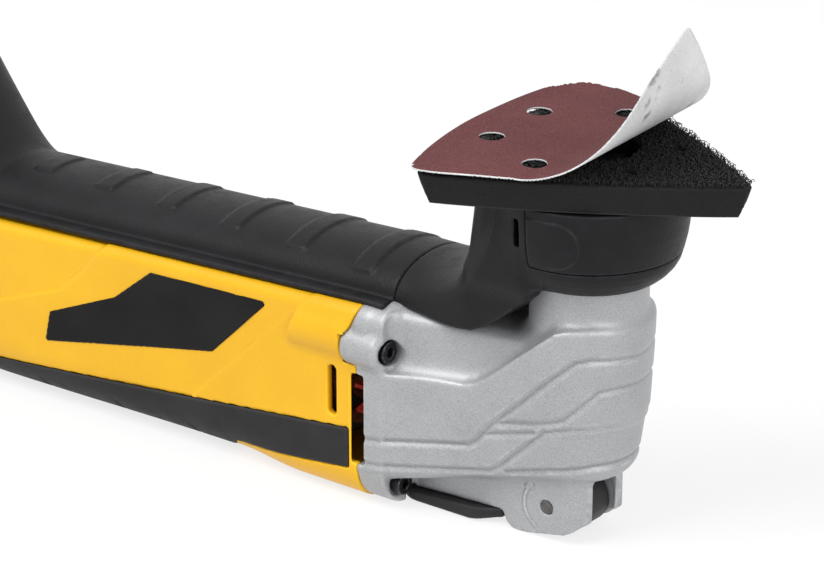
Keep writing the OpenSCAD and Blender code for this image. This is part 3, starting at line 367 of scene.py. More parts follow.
@finish
def silver_paint(place):
    bend = bend_of(place)
    flake = place.noise(2600, 2, 0.35, 0.65)
    cloud = place.cloud(70)
    # The edges are painted lighter: a painted highlight, partly paint rubbed off them.
    wear_and_highlight = bend.clear(0.25, 1.1) * place.noise(420, 3, 0.40, 0.62)
    # The hollows are painted darker: painted shade, partly dirt.
    dirt_and_shade = bend.clear(-0.25, -1.2)
    base = (flake * 0.6 + cloud * 0.2 + wear_and_highlight * 0.5 - dirt_and_shade * 0.45).clear(-0.2, 1)
    grain = place.noise(1500, 3).bump(0.16, 0.0004)
    return dict(colour=base.tint((0.25, 0.256, 0.266), (0.49, 0.496, 0.508)), metal=0.35,
                rough=(0.40 + flake * 0.16) - wear_and_highlight * 0.12, normal=grain, coat=0.12, coat_rough=0.35)


draft = np.interp(np.arange(-5, 105, 0.5), [12, 18, 28.5, 42, 54.5, 63.5, 74],
                  [-4.6, -3.6, -2.2, -0.4, 0.7, 1.3, 1.5])
draft = (np.arange(0, 100, 0.5), np.convolve(draft, np.ones(21) / 21, "valid")[:200])
ledge = ([-70, -54, -39, -28.8, -25.1, -19.1, -8.4, 2.3, 5.6, 12.4, 21.1, 30],
         [45, 45.6, 46.6, 47.0, 48.2, 52.3, 61.4, 70.2, 71.3, 71.5, 70.6, 69.5])
grooves = [
    [(-64, 22.5), (-50, 24.5), (-37, 26.2), (-28, 27.4), (-25.2, 29.3), (-19.8, 35.8), (-9.1, 45.6),
     (1.4, 55.4), (8.6, 61.6), (12.6, 62.4), (20.7, 62.0), (31, 61)],
    [(-22.6, 32.2), (-13.6, 34.3), (-5.4, 36.6)],
    [(-18.2, 36.8), (-6.1, 39.5), (2.1, 41.9), (4.9, 42.8), (10.1, 47.5), (15.4, 52.2),
     (21.3, 52.8), (31, 52.4)],
    [(-64, 14.6), (-50.4, 16.2), (-37.6, 17.8), (-22.2, 19.9), (-18.3, 22.2), (-10.7, 29.4), (-1.2, 38.0),
     (7.2, 40.1), (19.2, 40.8), (31, 40.4)],
    [(-16.0, 20.9), (-0.7, 25.4), (15.2, 27.5), (31, 27.4)]]
ear_edge = [(-21, 30), (-21, 5.3), (-20.3, 3.3), (-19.2, 1.5), (-17.6, 0.5), (-15.4, 0.1), (-12, 0.4),
            (-5, 1.8), (1, 3.0), (3.6, 4.2), (5.6, 6.2), (6.6, 9.0), (7, 12), (7, 30)]
# face of the joint, lever pin, upper and lower joint screws
joint_x = -63.9
pin_x, pin_z = -5, 10.5
upper_y, upper_z = 25.5, 51.5
lower_y, lower_z = 21, 7.9


def head_wide(x, s, z):
    """Wide part of the casting, round the gears, with the flange of the joint and the grooves in both."""
    nose_x, nose_r = -3.5, 21
    flank = (s - nose_r - 7.7 * unit((nose_x - x) / 50.7) ** 1.7) * 0.985
    plan = np.where(x < nose_x, flank, hyp(x - nose_x, s) - nose_r)
    side = plan - np.interp(z, *draft) * ease((x + 58) / 53)
    unrolled = np.where(x < nose_x, x, nose_x + nose_r * np.arctan2(x - nose_x, most(s, 0.01)))
    carve = 0.0
    for line in grooves:
        carve = most(carve, unit(1 - along(unrolled, z, line) / 1.5))
    top = (z - np.interp(unrolled, *ledge)) * 0.84
    low = 20 + 0.19 * least(x, 0) - z
    room = most(meet(meet(side, low, 6.5), top, 1.2), joint_x - x)
    flange = meet(meet(meet(s - 28.7, z - 64.2, 5), 0.3 - z, 13), between(x, joint_x, -54.2), 0.9)
    return join(room, flange, 0.8) + 1.05 * carve


def head_field(x, y, z):
    s = np.abs(y)
    pin = hyp(x - pin_x, z - pin_z)
    wide = head_wide(x, s, z)
    upper = s - 17.2 - 6.0 * ease((-14 - x) / 40)
    upper = most(meet(meet(upper, z - 64.2, 4.0), between(x, joint_x, 0.0)), 36 - z)
    neck = meet(hyp(x, y) - 17.5, between(z, 40, 92), 1.0)
    solid = join(wide, join(upper, neck, 5.0), 4.6 - 1.6 * ease((x + 34) / 34))
    boss = meet(hyp(s - upper_y, z - upper_z) - 6.3, between(x, -69, -54.6), 2.2)
    shoulder = meet(meet(s - 28.7, z - 63.9, 5), between(x, -69 + 0.42 * (z - upper_z), -60), 0.8)
    solid = join(solid, join(boss, most(shoulder, upper_z - z, 19 - s), 1.0), 1.6)
    wall = most(3.9 + 1.4 * (x + 57) / 36 - z, between(x, -57, 6.5))
    ears = most(join(wall, outline(x, z, ear_edge), 1.2), z - 26)
    ears = meet(ears, meet(meet(s - 13, x - 7.0, 6.0), 6 - s, 0.5), 0.35)
    solid = join(solid, ears, 2.0)
    # rooms for the fan, the bearings, the fork, the spindle, the cam and the screws
    axis = hyp(y, z - 34)
    bore = hyp(x, y)
    room = least(most(axis - 23.6, x + 48), most(axis - 25.5, x - joint_x), most(axis - 14.5, x + 36),
                 brick(x, y, z, (-38, -16.5, 23.5), (-13, 16.5, 46), 1.0),
                 most(brick(x, y, z, (-14, -13.5, 29), (0, 13.5, 46), 1.0), bore - 22))
    for r, low, high in ((13.5, 29, 46), (14.05, 79, 100), (8.5, 40, 100), (12.05, 22.5, 30), (5.6, 15, 30)):
        room = least(room, most(bore - r, between(z, low, high)))
    solid = cut(solid, room, 0.3)
    solid = cut(solid, most(pin - 10.9, s - 6.0), 0.4)
    solid = cut(solid, least(brick(x, y, z, (-66, -16.8, -2), (-56.5, 16.8, 6.8), 0.6),
                             brick(x, y, z, (-66, -16.8, -2), (-53.4, 16.8, 4.9), 0.4)), 0.4)
    solid = cut(solid, pin - 2.2, 0.25)
    solid = cut(solid, most(hyp(s - upper_y, z - upper_z) - 4.0 + 0.5 * most(x + 53.5, 0),
                            between(x, -57.2, -44)), 1.0)
    solid = cut(solid, most(hyp(s - lower_y, z - lower_z) - 4.0, between(x, -55, -44)), 0.6)
    gap = brick(x, s, z, (-66, 19, 14), (-61.4, 40, 43), 0.8)
    # raised arrow beside the pin
    bow = most(np.abs(pin - 8.0) - 0.45, x + 8.6, z - 15.4)
    bow = least(bow, outline(x, z, [(-13.2, 15.0), (-9.7, 15.2), (-10.0, 18.4)]))
    return join(cut(solid, gap, 0.8), meet(bow, between(s, 12, 13.4), 0.2), 0.2)


moulded("gear_head_casting", head_field, (-70.5, -33, -1), (20, 33, 93.5), 0.62,
        silver_paint, ("gear_head",), "silver_casting")

# Spindle, clamp and bearings
# A ground steel spindle on two ball bearings, rocked by a forged fork. The clamp rod slides inside it
# against a wire spring, and a felt ring keeps dust out. These solids keep their own shape.


def dress(material, *nodes):
    """Gives a finish to solids that keep their own shape."""
    for name in nodes:
        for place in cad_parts[name].material_slots:
            place.material = material


def machined(place, scale):
    lines = place.stretch(*scale).noise(170, 3, 0.35, 0.65)
    oil = place.noise(140, 3, 0.45, 0.7)
    return dict(colour=(lines * 0.5 + oil * 0.35).tint((0.33, 0.33, 0.34), (0.60, 0.60, 0.61)), metal=1.0,
                rough=0.24 + lines * 0.12 + oil * 0.1, normal=lines.bump(0.08, 0.0001))


@finish
def forged_steel(place):
    scale = place.noise(420, 4, 0.35, 0.68)
    rust = place.noise(60, 4, 0.6, 0.74)
    return dict(colour=(scale * 0.6 + rust * 0.2).tint((0.10, 0.096, 0.092), (0.28, 0.27, 0.262)), metal=0.85,
                rough=0.46 + scale * 0.16, normal=scale.bump(0.18, 0.0003))


@finish
def grey_felt(place):
    fibre = place.stretch(1, 1, 0.3).noise(2300, 4)
    return dict(colour=fibre.clear(0.3, 0.7).tint((0.10, 0.095, 0.088), (0.30, 0.29, 0.275)), rough=0.95,
                normal=fibre.bump(0.5, 0.0005))


@finish
def steel_turned_upright(place):
    return machined(place, (1.0, 1.0, 34.0))


@finish
def steel_turned_level(place):
    return machined(place, (34.0, 1.0, 1.0))


dress(steel_turned_upright, "spindle", "spindle_bearing_low", "spindle_bearing_high", "clamp_rod")
dress(forged_steel, "fork", "lever_pin")
dress(grey_felt, "spindle_seal")

# Spring of the clamp
# Round steel wire in four and a half turns about the clamp rod, between its button and the spindle. It is
# made at one length, taken from the part, and does not get shorter as the lever lifts the rod.


def wire_coil(r, wire, low, high, turns):
    """Points and faces of a coil of round wire about the spindle axis, in millimetres."""
    steps, k = round(turns * 28), 10
    a = np.linspace(0, 2 * math.pi * turns, steps + 1)[:, None]
    b = np.linspace(0, 2 * math.pi, k, endpoint=False)[None, :]
    out = r + wire * np.cos(b)
    rise = low + wire + (high - low - 2 * wire) * a / a[-1] + wire * np.sin(b)
    first, near = (np.arange(steps) * k)[:, None], np.arange(k)[None, :]
    far = (near + 1) % k
    sides = np.stack([first + near, first + k + near, first + k + far, first + far], -1).reshape(-1, 4)
    ends = [list(range(k)), list(range(steps * k + k - 1, steps * k - 1, -1))]
    return np.stack([out * np.cos(a), out * np.sin(a), rise], -1).reshape(-1, 3), sides.tolist() + ends


seat, stop = (corner.z * 1000 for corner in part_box("clamp_spring"))
coil = wire_coil(4.35, 0.7, seat, stop, 4.5)
spring = piece("clamp_coil_spring", *coil, "rocker", forged_steel, ("clamp_spring",), "steel")
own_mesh(spring)

# Motor
# A series motor: stacked steel sheets with enamelled copper coils, a copper commutator with two carbon
# brushes in brass boxes, a red cooling fan, and ball bearings in moulded brackets.


@finish
def steel_sheets(place):
    stack = place.sum("SINE", place.node("ShaderNodeSeparateXYZ", place) * 12566.0).clear(-1, 1)
    blue = place.noise(90, 3, 0.35, 0.7)
    return dict(colour=(stack * 0.6 + blue * 0.3).tint((0.055, 0.058, 0.066), (0.24, 0.245, 0.26)), metal=0.8,
                rough=0.42 + stack * 0.1, normal=stack.bump(0.4, 0.0002))


@finish
def enamelled_copper(place):
    strand = place.stretch(0.12, 1, 1).cells(1700)
    varnish = place.noise(120, 4, 0.4, 0.7)
    tone = strand.clear(0, 0.7) * 0.5 + varnish * 0.35
    return dict(colour=tone.tint((0.10, 0.026, 0.008), (0.50, 0.19, 0.07)),
                metal=0.7, rough=0.26 + varnish * 0.14, normal=strand.bump(0.6, 0.0004))


@finish
def bare_copper(place):
    run = place.stretch(30, 1, 1).noise(150, 3, 0.35, 0.65)
    film_of_carbon = place.noise(200, 3, 0.5, 0.7)
    tone = (run * 0.6 - film_of_carbon * 0.5).clear(-0.5, 0.6)
    return dict(colour=tone.tint((0.12, 0.05, 0.028), (0.62, 0.27, 0.13)),
                metal=0.95, rough=0.28 + film_of_carbon * 0.2, normal=run.bump(0.12, 0.0001))


@finish
def brass_strip(place):
    tarnish = place.noise(150, 4, 0.4, 0.7)
    return dict(colour=tarnish.tint((0.56, 0.38, 0.12), (0.30, 0.19, 0.06)), metal=0.95,
                rough=0.28 + tarnish * 0.18, normal=place.noise(1300, 2).bump(0.08, 0.0002))


@finish
def graphite(place):
    speck = place.noise(2400, 2, 0.4, 0.7)
    return dict(colour=speck.tint((0.010, 0.010, 0.011), (0.07, 0.07, 0.075)), rough=0.5 + speck * 0.1,
                metal=0.2, normal=speck.bump(0.15, 0.0002))


@finish
def red_fan_plastic(place):
    grain = place.cells(1500)
    cloud = place.cloud(60)
    return dict(colour=(cloud * 0.6 + grain * 0.3).tint((0.42, 0.020, 0.016), (0.80, 0.065, 0.045)),
                rough=0.40 + cloud * 0.12, normal=grain.bump(0.12, 0.0002))


@finish
def grey_polyamide(place):
    glass = place.stretch(1, 0.25, 1).noise(1600, 3)
    cloud = place.cloud(50)
    tone = cloud * 0.5 + glass.clear(0.35, 0.65) * 0.35
    return dict(colour=tone.tint((0.035, 0.037, 0.040), (0.11, 0.115, 0.12)),
                rough=0.46 + cloud * 0.12, normal=glass.bump(0.12, 0.0002))


dress(steel_turned_level, "armature_shaft", "eccentric_bearing", "front_bearing", "rear_bearing")
dress(steel_sheets, "armature_core", "stator_core")
dress(enamelled_copper, "armature_winding", "field_coils")
dress(bare_copper, "commutator")
dress(red_fan_plastic, "fan")
dress(brass_strip, "brush_holders")
dress(graphite, "brushes")
dress(forged_steel, "brush_springs")
dress(grey_polyamide, "bearing_plate", "rear_bracket")

# Switch and speed control
# A slide switch with a long link under the body, and a board behind the motor whose wheel sets the speed.


@finish
def solder_mask(place):
    tracks = place.cells(420, distance="MANHATTAN")
    cloud = place.noise(90, 3, 0.35, 0.7)
    tone = tracks.clear(0.15, 0.45) * 0.5 + cloud * 0.3
    return dict(colour=tone.tint((0.004, 0.055, 0.022), (0.025, 0.20, 0.075)),
                rough=0.30 + cloud * 0.1, normal=tracks.clear(0.2, 0.3).bump(0.2, 0.0002))


@finish
def black_nylon(place):
    bend = bend_of(place)
    grain = place.cells(1300)
    cloud = place.cloud(55)
    # The edges are painted lighter in patches: a painted highlight, partly rubbed plastic.
    wear_and_highlight = bend.clear(0.35, 1.4) * place.noise(300, 3, 0.35, 0.65)
    dust = bend.clear(-0.3, -1.6) * place.noise(160, 3, 0.35, 0.7)
    tone = cloud * 0.3 + grain.clear(0, 0.8) * 0.15 + wear_and_highlight * 0.45 + dust * 0.25
    return dict(colour=tone.tint((0.0085, 0.0085, 0.0095), (0.036, 0.036, 0.039)), gloss=0.3,
                rough=0.40 + cloud * 0.10 + grain * 0.08, normal=grain.bump(0.16, 0.00025))


dress(black_nylon, "switch_slider", "speed_dial", "pad_plate")
dress(grey_polyamide, "switch_module", "switch_link")
dress(solder_mask, "control_board")

# Joint screws of the gear head
# Four black oxide socket screws with knurled heads, driven along the body through the head into its bosses.
# One screw is shaped and set out on the four seats.


def set_out(name, part, spots, turns, body, material, nodes=(), seed=3, sway=0.0):
    """Repeats a part at spots (millimetres), each turned by its own angles, as one mesh."""
    tree = bpy.data.node_groups.new(name + "_row", "GeometryNodeTree")
    for way in ("INPUT", "OUTPUT"):
        tree.interface.new_socket("Row", in_out=way, socket_type="NodeSocketGeometry")
    start, end, info, turn_of, chance, put, real, paint = (tree.nodes.new(kind) for kind in (
        "NodeGroupInput", "NodeGroupOutput", "GeometryNodeObjectInfo", "GeometryNodeInputNamedAttribute",
        "FunctionNodeRandomValue", "GeometryNodeInstanceOnPoints", "GeometryNodeRealizeInstances",
        "GeometryNodeSetMaterial"))
    info.inputs["Object"].default_value = part
    turn_of.data_type = "FLOAT_VECTOR"
    turn_of.inputs["Name"].default_value = "turn"
    chance.inputs[2].default_value = 1.0 - sway
    chance.inputs["Seed"].default_value = seed
    paint.inputs["Material"].default_value = material
    for a, b in ((start.outputs[0], put.inputs["Points"]), (info.outputs["Geometry"], put.inputs["Instance"]),
                 (turn_of.outputs[0], put.inputs["Rotation"]), (chance.outputs[1], put.inputs["Scale"]),
                 (put.outputs[0], real.inputs[0]), (real.outputs[0], paint.inputs["Geometry"]),
                 (paint.outputs[0], end.inputs[0])):
        tree.links.new(a, b)
    holder = loose(name + "_spots", spots, [], (axis_x, 0.0, 0.0))
    turning = holder.data.attributes.new("turn", "FLOAT_VECTOR", "POINT")
    turning.data.foreach_set("vector", np.array(turns, np.float32).ravel())
    holder.modifiers.new("row", "NODES").node_group = tree
    baked = bpy.data.meshes.new_from_object(holder.evaluated_get(bpy.context.evaluated_depsgraph_get()))
    baked.name = name
    made = into_scene(name, baked)
    for spare in (holder, part):
        bpy.data.objects.remove(spare)
    settle(made, body, nodes)
    return made


def pattern(name, field, low, high, cell):
    """A loose part, shaped round the origin in millimetres, for setting out."""
    points, faces, bend = skin(field, low, high, cell)
    made = loose(name, points, faces)
    mark(made, bend)
    return made


def hexagon(a, b, across):
    return most(np.abs(b), np.abs(b) * 0.5 + np.abs(a) * 0.866) - across / 2


def socket_screw(x, y, z):
    r = hyp(y, z)
    knurl = 0.09 * np.abs(np.sin(18 * np.arctan2(z, y))) * unit((3.0 - x) * 3)
    head = meet(r - 3.4 + knurl, between(x, 0, 3.6), 0.35)
    return cut(least(head, most(r - 1.9, between(x, -6, 0.5))), most(hexagon(y, z, 3.1), 1.5 - x), 0.12)


@finish
def black_oxide_steel(place):
    bend = bend_of(place)
    cloud = place.noise(900, 3, 0.35, 0.7)
    # The edges are painted lighter: a painted highlight, partly bare steel where the oxide is rubbed off.
    wear_and_highlight = bend.clear(0.6, 2.5) * cloud
    return dict(colour=(wear_and_highlight * 0.8 + cloud * 0.15).tint((0.012, 0.012, 0.014), (0.12, 0.12, 0.125)),
                metal=0.7, rough=0.42 - wear_and_highlight * 0.12, normal=place.noise(3500, 2).bump(0.08, 0.0002))


upper_seat, lower_seat = -57.2, -55
screw_spots = [(upper_seat, -upper_y, upper_z), (upper_seat, upper_y, upper_z),
               (lower_seat, -lower_y, lower_z), (lower_seat, lower_y, lower_z)]
screw_turns = [(0.3, 0, 0), (1.1, 0, 0), (0.75, 0, 0), (0.1, 0, 0)]
set_out("gear_head_screws", pattern("socket_screw", socket_screw, (-6.3, -3.7, -3.7), (3.9, 3.7, 3.7), 0.17),
        screw_spots, screw_turns, "body", black_oxide_steel, ("head_screws",))

# Quick release lever
# A black glass filled nylon lever between the ears; its cam pushes the clamp rod. It turns on a steel pin.


def lever_field(x, y, z):
    s = np.abs(y)
    pin = hyp(x - pin_x, z - pin_z)
    angle = np.degrees(np.arctan2(z - pin_z, x - pin_x))
    cam = pin - (7.2 + 3.0 * unit((90 - angle) / 105) * (angle > -100))
    cam = most(cam, np.where(x < pin_x, 1.4 - z, cam))
    hub = meet(cam, s - 5.6, 0.7)
    arm = brick(x, y, z, (-27, -5.6, 0.8), (-6, 5.6, 8.2), 0.8)
    wide = 16 - 1.8 * ease((-53 - x) / 6) - 3.6 * ease((x + 30) / 9)
    low = 0.35 + 0.9 * ease((-51 - x) / 8) + most(0, x + 31.5) * 0.18 - z
    high = z - 5.0 - 0.0378 * (x + 21.5) + 0.8 * ease((-56 - x) / 3)
    paddle = meet(meet(meet(s - wide, low, 0.9), high, 0.5), between(x, -59, -21.5), 0.7)
    paddle = cut(paddle, hyp(x + 61.6, z - 6.2) - 5, 0.6)
    groove = unit(1 - np.abs(np.mod(x + 40.0, 3.2) - 1.6) / 0.7) * unit(2.4 - z) \
        * ease((-x - 38) / 1.5) * ease((x + 54) / 1.5) * ease((9.5 - s) / 1.2)
    solid = join(join(paddle, arm, 1.6), hub, 2.0) + 0.45 * groove
    return cut(solid, pin - 2.2, 0.2)


moulded("release_lever", lever_field, (-60, -17, -0.4), (7, 17, 21.5), 0.5,
        black_nylon, ("lever",), "black_plastic", "lever")

# Body halves
# Two yellow ABS mouldings that meet along the middle of the tool, with vents, the bed of the soft grip,
# the pocket of the switch and the holes of the screws that hold them together.


def deck(x):
    return 64.3 + least(0, x + 64) * 0.04191


def body_wide(x):
    rear = 29.5 - 1.5 * ease((-214 - x) / 22) - 1.5 * ease((x + 214) / 84)
    return np.where(x < -130, rear, 28 + ease((x + 130) / 66))


def body_skin(x, u, z):
    """Outer face of the body; u is the distance from its middle."""
    return meet(meet(u - body_wide(x), z - deck(x), 4.0), -z, 13 + 5 * ease((-90 - x) / 28))


grip_edge = [(-67, 25), (-131, 18), (-211, 10.5), (-238, 8), (-238, -3), (-124, -3), (-116, 6), (-67, 12)]
swell_edge = [(-160, 72), (-166.4, 58.6), (-174.3, 49.4), (-184.9, 40.7), (-209.7, 31.6),
              (-262, 20), (-262, 72)]
shell_screw_spots = [(-74.5, 57), (-171.5, 51), (-206, 49), (-230, 9.5)]


def swell(x, z):
    """How far the sides fall back behind the crease at the rear and in the field round the rating plate."""
    field = ease(0.5 - 0.72 * (x + 87.5 - 1.07 * (z - 58.5)) / 1.3)
    return 0.4 * field + 0.65 * ease(0.5 - outline(x, z, swell_edge) / 1.5)


def shell_field(x, u, z, screws):
    face = body_skin(x, u, z)
    pillar = meet(hyp(u - 22.4, z - 53.2) - 9.0, 0.95 * (-88.6 + 0.34 * (z - 53) - x), 1.4)
    fall = swell(x, z)
    side = ease((u - 20) / 4)
    outer = meet(join(face + fall * side, pillar, 1.2), between(x, -236, -64.05), 0.5)
    hollow = most(face + 2.8, -brick(x, u, z, (-112, -2, 0), (-77, 10, 4.6), 0.4))
    solid = most(outer, -hollow)
    solid = meet(solid, 0.04 - u, 0.25)
    bed = most(outline(x, z, grip_edge) - 0.1, -(face + 1.5))
    solid = cut(solid, bed, 0.15)
    # front vents, rear vents, room for the boss of the joint screw, pocket of the switch, screws
    step = np.clip(np.round((x + 226.8) / 5), 0, 3) * 5
    holes = [brick(x, u, z, (-75, 18, 27.7), (-71.6, 40, 43.7), 1.4),
             brick(x + 1.3 * most(28.4 - u, 0), u, z, (-66, 19, 14), (-60, 40, 43), 0.8),
             brick(x - step, u, z, (-228, 18, 26), (-225.6, 40, 44), 1.1),
             most(hyp(u - upper_y, z - upper_z) - 6.45, -69.1 - x),
             most(-69.1 + 0.42 * (z - upper_z) - x, upper_z - z, 18.9 - u),
             brick(x, u, z, (-109.4, -8, -2), (-79.6, 7.4, 2.6), 0.4)]
    if screws:
        holes += [most(hyp(x - a, z - b) - 3.7, 14 - u) for a, b in shell_screw_spots]
    return cut(solid, least(*holes), 0.5)


@finish
def yellow_abs(place):
    bend = bend_of(place)
    grain = place.cells(1500)
    cloud = place.cloud(26)
    speck = place.noise(1100, 2, 0.66, 0.78)
    # The hollows are painted darker in patches: painted shade, partly dirt.
    dirt_and_shade = bend.clear(-0.3, -1.5) * place.noise(130, 3, 0.3, 0.65)
    # The edges are painted lighter: a painted highlight.
    edge = bend.clear(0.4, 1.6)
    tone = (cloud * 0.35 + edge * 0.35 + grain * 0.15 - dirt_and_shade * 0.9 - speck * 0.12).clear(-0.7, 0.8)
    return dict(colour=tone.tint((0.56, 0.262, 0.004), (0.93, 0.532, 0.012)),
                rough=0.36 + cloud * 0.08 + dirt_and_shade * 0.2, normal=grain.bump(0.10, 0.0002), gloss=0.32)


for name, node, way, low, high, cell in (("body_half_left", "left_shell", -1, -33, 1, 0.72),
                                         ("body_half_right", "right_shell", 1, -1, 33, 0.78)):
    moulded(name, lambda x, y, z: shell_field(x, way * y, z, way > 0), (-237.5, low, -1), (-62.5, high, 66),
            cell, yellow_abs, (node,), "yellow_plastic")

# Soft grip strips
# Black thermoplastic rubber moulded into the beds of the two halves, with small notches across its
# lower edge.


def strip_field(x, u, z, screw):
    face = body_skin(x, u, z)
    proud = 0.35 * ease(z / 3)
    notch = np.zeros(np.broadcast(x, z).shape)
    for i in range(4):
        across = unit(1 - np.abs(x + 134 + 31 * i + (z - 10) * 0.12) / 0.9)
        notch = most(notch, across * ease((9 - z) / 4))
    area = outline(x, z, grip_edge) + 0.12
    solid = meet(face - proud + 0.7 * notch, most(area, 0.05 - u), 0.6)
    solid = most(solid, between(x, -235.9, -66), -(face + 1.45))
    return cut(solid, most(hyp(x + 230, z - 9.5) - 3.8, 14 - u), 0.3) if screw else solid


@finish
def soft_grip_rubber(place):
    bend = bend_of(place)
    grain = place.cells(1900)
    cloud = place.cloud(60)
    bloom = place.noise(210, 3, 0.45, 0.75)
    # The bend term paints the edges lighter: a painted highlight.
    tone = cloud * 0.35 + bloom * 0.25 + bend.clear(0.3, 1.3) * 0.35 + grain * 0.15
    return dict(colour=tone.tint((0.008, 0.008, 0.0088), (0.032, 0.032, 0.035)), rough=0.62 + bloom * 0.16,
                gloss=0.3, normal=grain.bump(0.30, 0.0003))


for name, node, way, low, high, cell in (("grip_strip_left", "left_grip_strip", -1, -31, 0.6, 0.62),
                                         ("grip_strip_right", "right_grip_strip", 1, -0.6, 31, 0.66)):
    moulded(name, lambda x, y, z: strip_field(x, way * y, z, way > 0), (-236.6, low, -0.9), (-65, high, 26),
            cell, soft_grip_rubber, (node,), "soft_grip")

# Rating plate
# A black polyester film glued to the left half.
plate_edge = [(-145.7, 54.7), (-100.7, 56.4), (-121.8, 36.3), (-189.3, 23.3), (-187.4, 32), (-160.5, 43.1)]


def plate_field(x, y, z):
    face = body_skin(x, -y, z) + swell(x, z) * ease((-y - 20) / 4)
    return most(meet(face - 0.32, outline(x, z, plate_edge) - 0.9, 0.18), -(face + 0.3))


@finish
def black_label_film(place):
    cloud = place.noise(45, 3, 0.35, 0.65)
    scratch = place.stretch(1, 1, 18, turn=0.5).noise(160, 2, 0.62, 0.74)
    return dict(colour=(cloud * 0.5 + scratch * 0.4).tint((0.0035, 0.0033, 0.0033), (0.013, 0.0125, 0.0125)),
                gloss=0.15, rough=0.34 + cloud * 0.08 + scratch * 0.18, normal=cloud.bump(0.05, 0.0004))


moulded("rating_film", plate_field, (-192, -31, 20), (-96, -26, 59), 0.5,
        black_label_film, ("rating_plate",), "plate_film")

# Shell screws
# Four zinc plated screws with six lobed recesses, driven from the right half into pillars of the left one.


def lobe_screw(x, y, z):
    r = hyp(x, z)
    lobes = r - 1.25 - 0.32 * np.cos(6 * np.arctan2(z, x))
    crown = meet(r - 3.4, most(-y, y - 2.4 + r * r * 0.05), 0.3)
    return cut(least(crown, most(r - 1.5, between(y, -5, 0.2))), most(lobes, 0.9 - y), 0.1)


@finish
def zinc_plate(place):
    bend = bend_of(place)
    spangle = place.noise(800, 3, 0.35, 0.65)
    # The bend term paints the edges lighter: a painted highlight.
    tone = (spangle + bend.clear(0.5, 2) * 0.5).clear(0, 1.4)
    return dict(colour=tone.tint((0.30, 0.31, 0.32), (0.62, 0.63, 0.64)),
                metal=0.9, rough=0.32 + spangle * 0.16, normal=spangle.bump(0.05, 0.0002))


set_out("body_screws", pattern("lobe_screw", lobe_screw, (-3.7, -5.3, -3.7), (3.7, 2.8, 3.7), 0.17),
        [(a, 15, b) for a, b in shell_screw_spots], [(0, 0.4 * i, 0) for i in range(4)], "body", zinc_plate,
        ("shell_screws",))

# Rear cap
# A black moulding that closes the rear of the body, with the slot of the speed dial and the cord inlet.
cord_z = 36


def cap_field(x, y, z):
    s = np.abs(y)
    face = meet(meet(meet(s - 28, z - 57.0, 4.4), 0.3 - z, 17.6), -258 - x, 6.5)
    solid = most(meet(face, x + 236.1, 0.4), -most(face + 2.6, x + 230))
    solid = cut(solid, brick(x, y, z, (-262, -3.4, 2.2), (-238.5, 3.4, 26.8), 0.5), 0.4)
    return cut(solid, most(hyp(y, z - cord_z) - 6.6, x + 248), 0.4)


moulded("end_cap", cap_field, (-259, -29, -0.5), (-235, 29, 58), 0.7,
        black_nylon, ("rear_cap",), "black_plastic")

# Cord inlet
# A soft rubber grommet with ribs, held by its flange behind the wall of the cap.


def inlet_field(x, y, z):
    r = hyp(y, z - cord_z)
    rib = 0.35 * np.cos((x + 262) * 2.6) * (x < -258.4)
    sleeve = meet(r - 6.1 - rib, between(x, -262, -249), 0.5)
    flange = meet(r - 9, between(x, -255.3, -253), 0.4)
    return cut(join(sleeve, flange, 0.4), r - 3.75, 0.3)


moulded("cord_inlet_grommet", inlet_field, (-263, -9.6, 26.4), (-248, 9.6, 45.6), 0.32,
        soft_grip_rubber, ("cord_gland",), "soft_grip")

# Dust duct
# A black polypropylene channel clipped along the underside of the body, with grip ribs moulded across its
# arched back and a socket for a vacuum hose at the rear.


def oval(a, b, wide, high):
    """Distance to an oval, near its edge."""
    near = hyp(a / wide, b / high)
    slope = hyp(a / wide ** 2, b / high ** 2)
    return near * (near - 1) / most(slope, 1e-4)


hose_z = 81.79
rib_pitch = 27.6


def duct_skin(x, s, z):
    t = (-222 - x) / 40
    flare = np.where(t < 0.5, ease(t), least(1.0, 1.5 * t - 0.25))
    base = deck(x) + 0.1
    wide = 20 + 4 * flare
    low = base + (57.79 - base) * flare
    middle = (base + 1.4) + (hose_z - base - 1.4) * flare
    arch = oval(s, z - middle, wide, 10.7 + 13.3 * flare)
    under = meet(s - wide, low - z, 1.2 + 22.8 * flare)
    return np.where(z > middle, arch, under)


def duct_field(x, y, z):
    s = np.abs(y)
    skin_here = duct_skin(x, s, z)
    base = deck(x) + 0.1
    foot = meet(meet(s - 25.5, between(z, base, base + 1.6), 0.5), between(x, -232, -56.6), 0.5)
    solid = join(meet(skin_here, between(x, -270, -56.6), 0.6), foot, 0.7)
    i = np.clip(np.round((-70.5 - x) / rib_pitch), 0, 5)
    rib = meet(meet(between(x + rib_pitch * i, -74.3, -66.8), s - 17.5 + 1.9 * i, 1.0), skin_here - 0.65, 0.5)
    solid = join(solid, most(rib, -1.5 - skin_here), 0.6)
    mouth = meet(skin_here - 0.9, between(x, -270, -265.5), 0.7)
    mouth = most(mouth, z - 105.8)
    solid = join(solid, most(mouth, -(skin_here + 2)), 0.5)
    way = least(most(skin_here + 2.0, -254 - x), most(hyp(y, z - hose_z) - 18, x + 253))
    return most(cut(solid, way, 0.5), 57.8 - z)


@finish
def black_polypropylene(place):
    bend = bend_of(place)
    grain = place.cells(1150)
    cloud = place.cloud(38)
    rub = place.noise(150, 4, 0.48, 0.72)
    # The edges are painted lighter in patches: a painted highlight, partly rubbed plastic.
    wear_and_highlight = bend.clear(0.25, 1.2) * place.noise(260, 3, 0.3, 0.6)
    tone = cloud * 0.25 + rub * 0.22 + wear_and_highlight * 0.5 + grain.clear(0, 0.8) * 0.14
    return dict(colour=tone.tint((0.0036, 0.0035, 0.0042), (0.0185, 0.018, 0.0212)), gloss=0.2,
                rough=0.42 + rub * 0.12 + grain * 0.08, normal=grain.bump(0.20, 0.00028))


